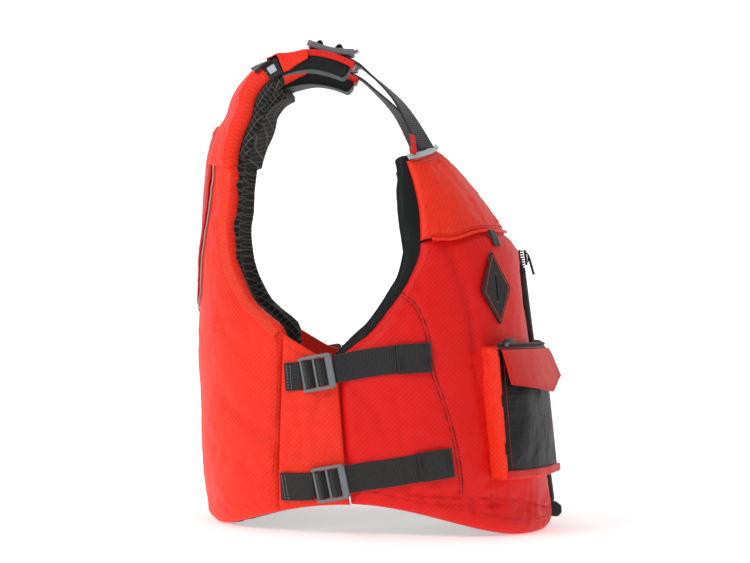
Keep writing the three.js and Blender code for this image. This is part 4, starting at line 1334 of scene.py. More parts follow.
@dataclass
class Shoulder:
    """The padded shoulder, its bands and sleeve, and the webbing down to the chest."""

    pad_end: float = 0.795
    sleeve_start: float = 0.36
    sleeve_end: float = 0.53

    def build(self) -> None:
        """Makes both shoulders."""
        pad = shoulder_block("right_pad", 0.02, from_below(0.34), PAD_WIDTH, -PAD_THICKNESS, 0.4,
                             BACK_RED, 7.5, 1.4, (), 61, 70, 28, LOWER_LINE)
        fit_pair(pad, Fit("back", "shell_cloth", fill=0.8))
        lining = shoulder_block("right_pad_satin", 0.325, self.pad_end, PAD_WIDTH - 2, -PAD_THICKNESS - 1.0, 0.0,
                                BLACK_SATIN, 6.0, 0.8, (0.42,), 66)
        fit_pair(lining, Fit("back", "satin_lining", ("*_shoulder_pad", "*_pad_lining"), fill=0.6))
        under = shoulder_block("right_pad_mesh", 0.06, from_below(0.37), PAD_WIDTH - 2, -PAD_THICKNESS - 12,
                               -PAD_THICKNESS + 1.0, MESH, 5.0, 1.5, (), 69, 70, 24, LOWER_LINE)
        fit_pair(under, Fit("back", "mesh_lining", fill=0.5))
        self.sleeve()
        self.bands()
        self.webbing()

    def sleeve(self) -> None:
        """The red sleeve round the strap, open at its back end."""
        rows, columns = 30, 40
        t, u = np.linspace(0, 1, rows), np.linspace(-1, 1, columns)
        T, U = np.meshgrid(t, u, indexing="ij")
        share = self.sleeve_start + (self.sleeve_end - self.sleeve_start) * T
        flare = 2.6 * (1 - smooth_step(T, 0, 0.3)) + 0.8 * np.sin(T * 9) * (1 - np.abs(U))
        fall = np.abs(U) > 0.72
        over = np.clip(np.abs(U) / 0.72, 0, 1)
        drop = np.where(fall, (np.abs(U) - 0.72) / 0.28, 0) * (19.0 - 11.0 * T)
        base = LINE.at(share, -drop, U * 30)
        lift = 2.2 + flare - drop - 1.5 * smooth_step(np.abs(U), 0.6, 0.75) + ripple(base, 15, 71) * 0.6
        across = np.sign(U) * over * (PAD_WIDTH / 2 + 0.6)
        outer = LINE.at(share, lift + 1.2, across + np.sign(U) * 1.2 * over)
        inner = LINE.at(share, lift, across)
        points, faces = closed_sheet(outer, inner)
        weave = np.stack([share * LINE.line.length, U * 33, np.zeros_like(U)], -1) * MM
        weave = np.concatenate([weave.reshape(-1, 3)] * 2)
        piece = make_piece("right_sleeve", points, faces, BACK_RED, weave)
        run = LINE.line.length * (self.sleeve_end - self.sleeve_start)
        back, front = PAD_WIDTH / 2 + 19.0, PAD_WIDTH / 2 + 8.0
        flat = pattern([(-back, 0), (back, 0), (front, run), (-front, run)])
        fit_pair(piece, Fit("back", "shell_cloth", ("*_strap_sleeve",), **flat, held="folded",
                            rests_on=("*_pad",)))

    def bands(self) -> None:
        """The black band with its pale patch, and the red strip in front of the sleeve."""
        for name, start, end, finish, slot, grow in (
            ("right_shoulder_band", 0.245, 0.352, STRAP, "webbing", 2.4),
            ("right_shoulder_strip", 0.535, 0.80, FLAP_RED, "flap_cloth", 1.6),
        ):
            share = np.linspace(start, end, 24)
            width = PAD_WIDTH + grow if slot == "webbing" else PAD_WIDTH - 1
            out = LINE.directions(share)[1]
            thick = 2.4 if slot == "webbing" else 7.0
            piece = strap_piece(name, LINE.at(share, 1.6 if slot == "webbing" else -0.5), out, finish, width,
                                thick, min(3.0, thick / 2.4))
            fit_pair(piece, Fit("back", slot))
        share = np.linspace(0.275, 0.325, 10)
        out = LINE.directions(share)[1]
        edge = LINE.at(share, -6.5, -PAD_WIDTH / 2 - 1.0)
        outward = np.tile(np.array([-1.0, 0.0, 0.15]), (len(share), 1))
        side = LINE.at(np.linspace(0.252, 0.352, 10), -7.0, -PAD_WIDTH / 2 - 0.2)
        lap = strap_piece("right_shoulder_band_side", side, outward, STRAP, 18.0, 1.8, 0.6)
        fit_pair(lap, Fit("back", "webbing"))
        patch = strap_piece("right_shoulder_patch", edge, outward, REFLECTIVE, 8.0, 1.6, 0.6)
        fit_pair(patch, Fit("back", "reflective_tape"))

    def webbing(self) -> None:
        """The webbing from the shoulder down to the chest reflector."""
        foot = FORM.point(49.2, 400.5)
        start = LINE.at(np.array(0.72), 4.5)
        middle = LINE.at(np.array(0.87), 3.0)
        bend = (middle + foot) / 2 + np.array([0, -2.0, 9.0]) * MM
        route = Line([start, LINE.at(np.array(0.79), 4.5), middle, bend, foot])
        share = np.linspace(0.0, 0.98, 60)
        path = route.at(share)
        turn = np.radians(-38 * smooth_step(share, 0.1, 1.0))
        across = np.stack([np.cos(turn), np.sin(turn), np.zeros_like(turn)], -1)
        along = unit(np.gradient(path, axis=0))
        normals = unit(np.cross(across, along))
        normals = normals * np.where(normals[:, 2:] < 0, -1.0, 1.0)
        strap = strap_piece("right_shoulder_strap", path, normals, STRAP, WEBBING_WIDTH, 2.2)
        bend_at = ("*_front", path[12], path[26])
        fit_pair(strap, Fit("back", "webbing", ("*_shoulder_webbing",), bend=bend_at))


# ---- Webbing and buckles -------------------------------------------------------------


WEBBING_WIDTH = 29.0


@dataclass
class LadderLock:
    """A ladder-lock buckle: two rails, three bars, and the webbing that winds through."""

    length: float = 35.0
    rail: float = 3.0
    front_bar: float = 6.0
    arch: float = 1.4
    tab: float = 0.0
    base: float = 1.8
    depth: float = 4.0
    hump: float = 5.0

    def frame_parts(self, place: Matrix) -> tuple[Points, list, Points]:
        """The plastic frame, with x along the webbing, y across and z out."""
        half = WEBBING_WIDTH / 2 + 0.6
        matrix = np.array(place)[:3, :3]
        origin = np.array(place.translation)

        def world(local: Points) -> Points:
            """Local millimetres in the frame, in metres."""
            return origin + (local * MM) @ matrix.T

        x = np.linspace(0.6, self.length - 1.2, 26)
        rise = self.base + self.arch * np.sin(np.pi * x / self.length)
        out = np.tile(matrix[:, 2], (len(x), 1))
        parts = []
        for side in (-1, 1):
            pull_in = np.where(x < 3, (3 - x) * 0.5, 0) + np.where(x > self.length - 4, (x - self.length + 4) * 0.4, 0)
            y = side * (half + self.rail / 2 - pull_in)
            path = world(np.stack([x, y, rise + 0.9], -1))
            parts.append(sweep(path, out, outline(self.rail + 0.6, self.depth, 1.3, 2)))
        middle = self.rail + (self.length - self.rail - self.front_bar - self.rail) / 2 + self.rail / 2
        bars = ((self.rail / 2 + 0.6, self.rail, 2.8, 0.2), (middle, self.rail, 2.8, 0.6),
                (self.length - self.front_bar / 2 - 0.4, self.front_bar + 1.4, 3.4, 0.6))
        y = np.linspace(-half - 1.4, half + 1.4, 14)
        for centre, width, thick, up in bars:
            z = self.base + self.arch * math.sin(math.pi * centre / self.length) + up
            path = world(np.stack([np.full_like(y, centre), y, np.full_like(y, z)], -1))
            parts.append(sweep(path, np.tile(matrix[:, 2], (len(y), 1)), outline(width, thick, 1.2, 2)))
        if self.tab:
            x = np.linspace(self.length - 5, self.length + self.tab, 12)
            z = self.base + 1.0 + 0.05 * (x - self.length + 5) ** 2
            path = world(np.stack([x, np.zeros_like(x), z], -1))
            shrink = np.linspace(1.0, 0.72, len(x))
            parts.append(sweep(path, np.tile(matrix[:, 2], (len(x), 1)), outline(WEBBING_WIDTH - 4, 2.8, 1.2, 4),
                               widen=shrink))
        return joined(parts)

    def winding(self, place: Matrix) -> tuple[Points, list, Points]:
        """The webbing through the windows, in two humps over and under the bars."""
        middle = (self.length - self.front_bar) / 2
        stops = [(-1.5, 0.2), (1.5, 0.1), (4.5, 2.6), (middle * 0.55, self.hump + self.arch), (middle - 3.2, 2.8),
                 (middle + 0.5, 0.4), (middle + 4.2, 2.8), (middle * 1.5, self.hump + 0.2 + self.arch),
                 (self.length - self.front_bar - 3.0, 3.0), (self.length - self.front_bar + 1, 0.4),
                 (self.length - 1, 0.1)]
        local = Line([(x, 0.0, z) for x, z in stops]).spaced(0.9)
        matrix = np.array(place)[:3, :3]
        path = np.array(place.translation) + (local * MM) @ matrix.T
        along = unit(np.gradient(path, axis=0))
        normals = unit(np.cross(along, np.tile(matrix[:, 1], (len(path), 1))))
        normals = normals * np.sign((normals @ matrix[:, 2]))[:, None]
        return sweep(path, normals, outline(WEBBING_WIDTH - 1.2, 1.9, 0.8))


@dataclass(frozen=True)
class StrapPlan:
    """Where one side strap runs on the form."""

    level: str
    anchor: tuple[tuple[float, float], ...]
    buckle: tuple[float, float]
    route: tuple[tuple[float, float], ...]
    keeper: tuple[tuple[float, float], ...]
    tilt: float = 12.0


UPPER = StrapPlan("upper", ((113.6, 161.6), (111.0, 162.4), (108.6, 163.6)), (108.7, 163.5),
                  ((98.6, 171.6), (96.2, 173), (88, 178.5), (79, 183), (69.4, 185.7)),
                  ((79.2, 183), (74, 184.6), (68.9, 185.9)))
LOWER = StrapPlan("lower", ((118.2, 48.6), (113, 49.2), (108.0, 50.5)), (107.8, 51),
                  ((98.2, 58.4), (95.6, 60), (89, 64), (82.4, 67.5), (73, 74), (65.5, 78.5)),
                  ((75.2, 72.6), (70, 75.8), (65.0, 78.9)))


@dataclass
class SideStrap:
    """One side strap: its anchor, buckle, strap, keeper loop and sewn ends."""

    plan: StrapPlan

    def build(self, cushion: Cushion) -> None:
        """Makes the strap on both sides, over the cushion of the front."""
        level = self.plan.level
        anchor = strap_on_form(f"right_{level}_tail", self.plan.anchor, STRAP, WEBBING_WIDTH, 2.1, 2.0)
        fit_pair(anchor, Fit("back", "webbing", (f"*_{level}_anchor",)))
        height = self.plan.route[0][1]

        def over(angle: Points, z: Points) -> Points:
            """The strap lies on the panel, and level with the buckle beside it."""
            share = smooth_step(angle, 92, 98)
            return (cushion.outer(angle, z) + 1.0) * (1 - share) + 2.2 * share

        strap = strap_on_form(f"right_{level}_webbing", self.plan.route, STRAP, WEBBING_WIDTH, 2.1, over)
        bend = ("*_front", FORM.point(100.5, height), FORM.point(94.0, height))
        fit_pair(strap, Fit("back", "webbing", (f"*_{level}_strap",), bend=bend))
        keeper = strap_on_form(f"right_{level}_keeper", self.plan.keeper, STRAP, WEBBING_WIDTH + 1.5, 2.0,
                               lambda a, h: over(a, h) + 2.4)
        fit_pair(keeper, Fit("*_front", "webbing"))
        place = FORM.frame(*self.plan.buckle, 0.4, self.plan.tilt)
        lock = LadderLock()
        frame = make_piece(f"right_{level}_lock", *lock.frame_parts(place)[:2], GREY_PLASTIC,
                           lock.frame_parts(place)[2])
        fit_pair(frame, Fit(f"*_{level}_buckle", "buckle_plastic", (f"*_{level}_buckle",)))
        points, faces, weave = lock.winding(place)
        fit_pair(make_piece(f"right_{level}_winding", points, faces, STRAP, weave),
                 Fit(f"*_{level}_buckle", "webbing"))
        start, end = self.plan.keeper[0], self.plan.keeper[-1]
        rows = []
        for near, shift in ((start, -0.9), (start, -1.9), (end, 0.9), (end, 1.9)):
            run = [(near[0] + shift, near[1] - 12.5), (near[0] + shift, near[1]), (near[0] + shift, near[1] + 12.5)]
            rows.append(seam_route(run, lambda a, h: over(a, h) + 4.5))
        fit_pair(stitches(f"right_{level}_keeper_stitching", rows, BLACK_THREAD, 2.8, 2.2, 0.4),
                 Fit("*_front", "webbing"))
        side = self.plan.anchor[0]
        rows = [seam_route([(side[0] - s, side[1] - 12.5), (side[0] - s, side[1] + 12.5)], 4.2) for s in (0.9, 1.9)]
        fit_pair(stitches(f"right_{level}_tail_stitching", rows, GREY_THREAD, 2.8, 2.2, 0.4),
                 Fit("back", "webbing"))


@dataclass
class ShoulderBuckle:
    """The larger arched buckle on top of the shoulder."""

    share: float = 0.54

    def build(self) -> None:
        """Makes both shoulder buckles with the webbing through them."""
        at = LINE.line.at(self.share)
        small = 0.06
        along = unit(LINE.line.at(self.share + 0.1 + small) - LINE.line.at(self.share + 0.1 - small))
        across = unit(np.cross(UP, along))
        out = np.cross(along, across)
        place = Matrix(np.column_stack([along, across, out]).tolist()).to_4x4()
        place.translation = Vector((at + out * 3.4) * MM)
        lock = LadderLock(length=50.0, rail=4.2, arch=-3.0, tab=3.0, base=7.0, depth=6.5, hump=15.5)
        points, faces, weave = lock.frame_parts(place)
        fit_pair(make_piece("right_shoulder_lock", points, faces, GREY_PLASTIC, weave),
                 Fit("*_shoulder_buckle", "buckle_plastic", ("*_shoulder_buckle",)))
        points, faces, weave = lock.winding(place)
        fit_pair(make_piece("right_shoulder_winding", points, faces, STRAP, weave),
                 Fit("*_shoulder_buckle", "webbing"))


# ---- The centre zip ------------------------------------------------------------------


class CentreZip:
    """The moulded-tooth zip up the front, its slider, pull, tapes and foot."""

    pitch = 2.7
    tooth_width = 3.1
    chain_depth = 3.2
    proud = 4.4

    def __init__(self) -> None:
        """Works out the zip's frame from the form."""
        self.foot = FORM.point(0.0, ZIP_BOTTOM)
        self.head = FORM.point(0.0, ZIP_TOP)
        self.up = unit(self.head - self.foot)
        self.out = unit(np.cross(np.array([1.0, 0.0, 0.0]), self.up))
        self.length = float(np.linalg.norm(self.head - self.foot)) / MM

    def at(self, left: Points | float, out: Points | float, up: Points | float) -> Points:
        """Points of the zip's frame in metres: left, outward and up in millimetres."""
        left, out, up = np.broadcast_arrays(*[np.asarray(v, float) for v in (left, out, up)])
        return self.foot + (left[..., None] * np.array([1.0, 0, 0]) + out[..., None] * self.out
                            + up[..., None] * self.up) * MM

    def frame(self, left: float, out: float, up: float) -> Matrix:
        """A frame with x to the wearer's left, y up the zip and z outward."""
        matrix = Matrix(np.column_stack([[1.0, 0, 0], self.up, self.out]).tolist()).to_4x4()
        matrix.translation = Vector(self.at(left, out, up))
        return matrix

    def teeth(self, side: int, start: float, end: float) -> tuple[Points, list]:
        """A row of teeth on one side."""
        parts = []
        step = self.pitch
        shift = 0.0 if side < 0 else step / 2
        ring = outline(self.tooth_width, self.chain_depth, 0.8, 2)
        count = int((end - start) / step)
        for k in range(count):
            up = start + shift + k * step + step / 2
            up_points = np.array([-0.62, -0.45, 0.45, 0.62]) * 1.35 + up
            path = self.at(side * (self.tooth_width / 2 + 0.25), self.proud + 1.6, up_points)
            parts.append(sweep(path, np.tile(self.out, (4, 1)), ring, widen=np.array([0.8, 1, 1, 0.8]),
                               thicken=np.array([0.75, 1, 1, 0.75]))[:2])
        return joined(parts)

    def build(self) -> None:
        """Makes the whole zip."""
        left_top = self.length + 19.0
        for side, name, top in ((-1, "right", self.length), (1, "left", left_top)):
            up = np.linspace(0, top, 60)
            wave = 0.5 * np.sin(up / 17.0 + side) + 0.3 * np.sin(up / 6.3)
            path = self.at(side * (0.4 + TAPE_WIDTH / 2), self.proud - 0.4 + wave * 0.5, up)
            tape = strap_piece(f"{name}_tape", path, np.tile(self.out, (60, 1)), TAPE, TAPE_WIDTH, 1.2, 0.4)
            fit(tape, Fit(f"{name}_front", "zip_parts", (f"{name}_zip_half",)))
            teeth = make_piece(f"{name}_teeth", *self.teeth(side, 0.5, top - 1), BLACK_PLASTIC)
            fit(teeth, Fit(f"{name}_front", "zip_parts"))
            # A black facing fills the space between the tape and the padded edge.
            path = self.at(side * (TAPE_WIDTH + 3.6), self.proud - 2.4, up[:58])
            facing = strap_piece(f"{name}_zip_facing", path, np.tile(self.out, (58, 1)), TAPE, 9.0, 8.0, 3.0)
            fit(facing, Fit(f"{name}_front", "zip_parts"))
            row = (self.at(side * (0.4 + TAPE_WIDTH - 3.0), self.proud + 0.35 + wave * 0.5, up), np.tile(self.out, (60, 1)))
            fit(stitches(f"{name}_zip_stitching", [row], BLACK_THREAD, 3.2, 2.4, 0.35),
                Fit(f"{name}_front", "zip_parts"))
        self.slider()
        self.foot_pieces()

    def slider(self) -> None:
        """The slider above the closed chain, and its pull."""
        base = self.length + 1.0
        body = np.array([(-4.2, 0), (4.2, 0), (5.6, 7), (5.6, 12), (3.4, 17), (-3.4, 17), (-5.6, 12), (-5.6, 7)])
        lift = self.proud - 0.6
        parts = [plate(body, self.frame(0, 4.4 + lift, base), 2.4, rounding=0.5),
                 plate(body * np.array([0.9, 1]), self.frame(0, -1.4 + lift, base), 1.6, rounding=0.3)]
        x = np.linspace(0, 1, 14)
        bridge = self.at(0.0, 6.4 + lift + 3.2 * np.sin(np.pi * x), base + 3.0 + 11 * x)
        parts.append(sweep(bridge, np.tile(self.out, (14, 1)), outline(2.6, 1.6, 0.6, 2))[:2])
        points, faces = joined(parts)
        fit(make_piece("front_zip_slider", points, faces, BLACK_PLASTIC),
            Fit("zip_slider", "zip_parts", ("zip_slider",)))
        top = base + 17 * 0.7
        ring = np.linspace(0, 2 * np.pi, 20)
        loop = self.at(2.6 * np.sin(ring), 8.4 + lift + 0.3 * np.cos(ring), top - 3.0 + 3.0 * np.cos(ring))
        tab_shape = np.array([(-2.0, 0), (2.0, 0), (2.6, -3), (2.9, -17), (2.0, -19.5), (-2.0, -19.5),
                              (-2.9, -17), (-2.6, -3)])
        hang = self.frame(0, 8.0 + lift, top - 4.2) @ Matrix.Rotation(math.radians(-9), 4, "X")
        parts = [plate(tab_shape, hang, 2.6, rounding=0.6),
                 sweep(loop, np.tile(self.out, (20, 1)), outline(1.3, 1.3, 0.6, 1))[:2]]
        points, faces = joined(parts)
        fit(make_piece("front_zip_pull", points, faces, BLACK_PLASTIC), Fit("zip_pull", "zip_parts", ("zip_pull",)))

    def foot_pieces(self) -> None:
        """The cloth tab and the moulded box at the foot of the zip."""
        shape = np.array([(-4, 4), (0, -3), (9, -5), (14, -1), (14.5, 7), (9, 12), (0, 14)])
        turned = self.frame(0.4, 0.0, -14.0) @ Matrix(((0, 0, 1, 0), (0, 1, 0, 0), (1, 0, 0, 0), (0, 0, 0, 1)))
        points, faces = plate(shape, turned, 10.0, rounding=2.4)
        fit(make_piece("zip_foot_cloth", points, faces, TAPE), Fit("left_front", "zip_parts", ("zip_foot_tab",)))
        shape = np.array([(-4.6, 0), (4.6, 0), (4.6, 8), (3.4, 10), (-3.4, 10), (-4.6, 8)])
        points, faces = plate(shape, self.frame(0, 1.2, -1.0), 4.6, rounding=0.8)
        fit(make_piece("zip_box", points, faces, DULL_METAL), Fit("left_front", "zip_parts"))


# ---- Pockets -------------------------------------------------------------------------


@dataclass
class BoxPocket:
    """A box pocket: a red gusset, a black face, a zip along its top and a pointed flap."""

    depth: float = 22.0
    inner_depth: float = 16.0
    curve: float = 0.55
    bottom: float = 62.0
    top: float = 196.0
    root_back: float = 52.2
    face_back: float = 50.4
    front: float = 9.0
    lift: float = 1.4
    flap_drop: float = 46.0
    flap_point: float = 16.0

    def __post_init__(self) -> None:
        """Works out the face's frame."""
        corner = lambda a, h, d: FORM.point(a, h, d + self.lift)
        self.top_back = corner(self.face_back, self.top, self.depth)
        self.top_front = corner(self.front, self.top, self.inner_depth)
        self.low_back = corner(self.face_back, self.bottom, self.depth)
        self.low_front = corner(self.front, self.bottom, self.inner_depth)
        self.along = unit(self.top_front - self.top_back)
        rise = unit(self.top_back - self.low_back)
        self.out = unit(np.cross(self.along, rise))
        self.rise = np.cross(self.out, self.along)
        self.width = float(np.linalg.norm(self.top_front - self.top_back)) / MM

    def at(self, x: Points | float, y: Points | float, z: Points | float) -> Points:
        """Points of the face's frame: along it, up from its top edge, and outward."""
        x, y, z = np.broadcast_arrays(*[np.asarray(v, float) for v in (x, y, z)])
        flat = self.top_back + (x[..., None] * self.along + y[..., None] * self.rise + z[..., None] * self.out) * MM
        share = x / self.width
        angle = self.face_back + (self.front - self.face_back) * share
        depth = self.depth + (self.inner_depth - self.depth) * share
        round_form = FORM.point(angle, self.top + y, depth + self.lift + z)
        return flat + (round_form - flat) * self.curve

    def normals(self, x: Points) -> Points:
        """The outward directions along the face."""
        angle = self.face_back + (self.front - self.face_back) * np.asarray(x) / self.width
        return unit(self.out + (FORM.normal(angle, np.full_like(angle, 130.0)) - self.out) * self.curve)

    def frame(self, x: float, y: float, z: float) -> Matrix:
        """The face's frame moved to a place on it."""
        matrix = Matrix(np.column_stack([self.along, self.rise, self.out]).tolist()).to_4x4()
        matrix.translation = Vector(self.at(x, y, z))
        return matrix

    def face_point(self, u: Points, v: Points) -> Points:
        """A point of the flat face: u to the front, v up."""
        u, v = np.broadcast_arrays(np.asarray(u, float), np.asarray(v, float))
        return self.at(u * self.width, (v - 1) * (self.top - self.bottom), 0.0)

    def root_point(self, u: Points, v: Points) -> Points:
        """A point where the pocket meets the panel."""
        angle = self.root_back + (self.front - self.root_back) * u
        return FORM.point(angle, self.bottom + (self.top - self.bottom) * v, 0.6)

    def around(self, t: Points) -> tuple[Points, Points]:
        """The face's outline as u and v, from the top back corner down and round."""
        t = np.asarray(t) * 3
        u = np.clip(t - 1, 0, 1)
        v = np.clip(1 - t, 0, 1) + np.clip(t - 2, 0, 1)
        return u, v

    def build(self) -> None:
        """Makes both pockets."""
        self.gusset()
        self.face()
        self.lip()
        self.zip()
        self.flap()

    def gusset(self) -> None:
        """The red walls round the back edge, the foot and the front edge."""
        t, depth = np.linspace(0, 1, 100), np.linspace(0, 1, 14)
        u, v = self.around(t)
        face, root = self.face_point(u, v), self.root_point(u, v)
        D = depth[:, None, None]
        points = root[None] * (1 - D) + face[None] * D
        middle = self.face_point(np.array(0.5), np.array(0.5))
        away = unit(face - middle - np.outer((face - middle) @ self.out, self.out))
        bulge = (2.4 * np.sin(np.pi * depth)[:, None] + ripple(points, 17, 81) * 1.3 * np.sin(np.pi * depth)[:, None])
        outer = points + away[None] * bulge[..., None] * MM
        inner = outer - away[None] * 1.4 * MM
        verts, faces = closed_sheet(outer, inner)
        weave = np.zeros((14, 100, 3))
        weave[..., 0] = t * 0.4
        weave[..., 1] = depth[:, None] * self.depth * MM
        weave = np.concatenate([weave.reshape(-1, 3)] * 2)
        piece = make_piece("right_pocket_gusset", verts, faces, GUSSET_RED, weave)
        tall, wide = self.top - self.bottom, self.width
        deep, shallow = self.depth + self.lift, self.inner_depth + self.lift
        flat = pattern([(0, 0), (2 * tall + wide, 0), (2 * tall + wide, shallow), (tall + wide, shallow),
                        (tall, deep), (0, deep)])
        fit_pair(piece, Fit("*_front", "shell_cloth", **flat, held="folded", rests_on=("*_front_panel",)))

    def face(self) -> None:
        """The black face, bulged by what is inside."""
        rows, columns = 44, 50
        v, u = np.meshgrid(np.linspace(0, 1, rows), np.linspace(0, 1, columns), indexing="ij")
        base = self.face_point(u, v)
        edge = np.minimum(np.minimum(u, 1 - u) * self.width, np.minimum(v, 1 - v) * (self.top - self.bottom))
        bulge = 3.6 * smooth_step(edge, 0, 40) + ripple(base, 30, 84) * 1.2 * smooth_step(edge, 2, 18)
        bulge = bulge + ripple(base, 13, 86, True) * 0.5 * smooth_step(edge, 2, 12)
        outer = base + self.out * (bulge[..., None] + 0.4) * MM
        inner = base + self.out * (bulge[..., None] * 0.8 - 1.4) * MM
        verts, faces = closed_sheet(outer, inner)
        weave = np.stack([u * self.width, v * (self.top - self.bottom), np.zeros_like(u)], -1) * MM
        weave = np.concatenate([weave.reshape(-1, 3)] * 2)
        piece = make_piece("right_pocket_face", verts, faces, POCKET_BLACK, weave)
        fit_pair(piece, Fit("*_front", "pocket_cloth", ("*_pocket",),
                            cut=(self.width * MM, (self.top - self.bottom) * MM), held="stretched",
                            rests_on=("*_pocket_gusset",)))

    def lip(self) -> None:
        """The red binding along the foot of the face, and the stitching round its sides and foot."""
        u, v = self.around(np.linspace(0.0, 1.0, 120))
        path = self.face_point(u, v) + self.out * 0.6 * MM
        lines = self.face_point(np.clip(u, 0.04, 0.96), np.clip(v, 0.035, 1.0)) + self.out * 0.8 * MM
        normals = np.tile(self.out, (len(path), 1))
        low = np.linspace(-0.01, 1.01, 40)
        foot = self.face_point(low, np.full(40, 0.03)) + self.out * (1.6 + 0.5 * np.sin(low * 21)[:, None]) * MM
        binding = strap_piece("right_pocket_lip", foot, np.tile(self.out, (40, 1)), FLAP_RED, 8.5, 3.4, 1.6)
        fit_pair(binding, Fit("*_front", "flap_cloth"))
        fit_pair(stitches("right_pocket_stitching", [(lines, normals)], RED_THREAD, 3.3, 2.5, 0.4),
                 Fit("*_front", "flap_cloth"))

    def zip(self) -> None:
        """The top of the pocket: a roof, the zip tape with its coil, and the slider."""
        u = np.linspace(0, 1, 40)
        v1 = np.ones(40)
        face, root = self.face_point(u, v1), self.root_point(u, v1)
        depth = np.linspace(0, 1, 10)[:, None, None]
        roof = root[None] * (1 - depth) + face[None] * depth
        sag = np.sin(np.pi * depth[..., 0]) * 1.5
        outer = roof + UP * (sag[..., None] + 0.8) * MM
        verts, faces = closed_sheet(outer, outer - UP * 1.4 * MM)
        piece = make_piece("right_pocket_roof", verts, faces, FLAP_RED)
        deep, shallow = self.depth + self.lift, self.inner_depth + self.lift
        flat = pattern([(0, 0), (self.width, 0), (self.width, shallow), (0, deep)])
        fit_pair(piece, Fit("*_front", "flap_cloth", **flat, held="stretched", rests_on=("*_pocket_gusset",)))
        x = np.linspace(1, self.width - 2, 50)
        path = self.at(x, 2.6, -1.6)
        tape = strap_piece("right_pocket_tape", path, self.normals(x), TAPE, 6.4, 3.0, 1.3)
        fit_pair(tape, Fit("*_front", "zip_parts", ("*_pocket_zip",)))
        parts = []
        for k in np.arange(3, self.width - 3, 1.5):
            row = self.at(np.array([k - 0.5, k, k + 0.5]), np.array([2.7, 3.6, 4.5]), 0.7)
            parts.append(sweep(row, np.tile(self.out, (3, 1)), outline(0.9, 0.9, 0.4, 1))[:2])
        fit_pair(make_piece("right_pocket_coil", *joined(parts), BLACK_PLASTIC), Fit("*_front", "zip_parts"))
        shape = np.array([(0, -2.6), (4, -3.6), (11, -3.6), (15, -2.0), (15, 2.0), (11, 3.6), (4, 3.6), (0, 2.6)])
        parts = [plate(shape, self.frame(6, 5.6, 1.2), 2.4, rounding=0.5)]
        pull = np.array([(0, -1.6), (3, -2.2), (17, -2.6), (19, -1.2), (19, 1.2), (17, 2.6), (3, 2.2), (0, 1.6)])
        turned = self.frame(8, 8.4, 3.0) @ Matrix.Rotation(math.radians(-10), 4, "Y")
        parts.append(plate(pull, turned, 1.5, rounding=0.5))
        fit_pair(make_piece("right_pocket_runner", *joined(parts), BLACK_PLASTIC),
                 Fit("*_pocket_slider", "zip_parts", ("*_pocket_slider",)))

    def flap(self) -> None:
        """The pointed flap, hung from the top edge and standing off at its foot."""
        rows, columns = 34, 46
        v, u = np.meshgrid(np.linspace(0, 1, rows), np.linspace(0, 1, columns), indexing="ij")
        side = self.flap_drop - self.flap_point
        point = 0.62
        reach = np.where(u < point, side + 6 + (self.flap_drop - side - 6) * (u / point),
                         self.flap_drop - self.flap_point * (u - point) / (1 - point))
        top_x = u * (self.width - 4)
        low_x = -3.0 + u * (self.width + 5)
        x = top_x + (low_x - top_x) * v
        y = -1 - reach * v
        z = 3.0 + 11.0 * v**0.8 + 1.6 * np.sin(u * 5.2 + 0.6) * v**1.5
        base = self.at(x, y, z)
        z = z + ripple(base, 20, 91) * 0.9 * v
        outer, inner = self.at(x, y, z + 1.5), self.at(x, y, z)
        verts, faces = closed_sheet(outer, inner)
        weave = np.concatenate([np.stack([x, y, np.zeros_like(x)], -1).reshape(-1, 3)] * 2) * MM
        flap = make_piece("right_pocket_cover", verts, faces, FLAP_RED, weave)
        wide, near = self.width - 4, side + 6
        flat = pattern([(0, 0), (wide, 0), (wide, side), (point * wide, self.flap_drop), (0, near)])
        how = Fit("*_pocket_flap", "flap_cloth", ("*_pocket_flap",), **flat, held="hung",
                  rests_on=("*_pocket_face",))
        fit_pair(flap, how)
        rim = 3.4
        t = np.linspace(0.05, 0.95, 40)
        column = lambda k: outer[np.clip((np.linspace(0.05, 0.93, 24) * (rows - 1)).astype(int), 0, rows - 1), k]
        inset = int(rim / self.width * columns) + 1
        foot = np.array([outer[rows - 3, int(s * (columns - 1))] for s in t])
        routes = [(foot, np.tile(self.out, (40, 1))), (column(inset), np.tile(self.out, (24, 1))),
                  (column(columns - 1 - inset), np.tile(self.out, (24, 1)))]
        fit_pair(stitches("right_flap_stitching", routes, ORANGE_THREAD, 3.2, 2.4, 0.42),
                 Fit("*_pocket_flap", "flap_cloth"))


# ---- Lash tab ------------------------------------------------------------------------


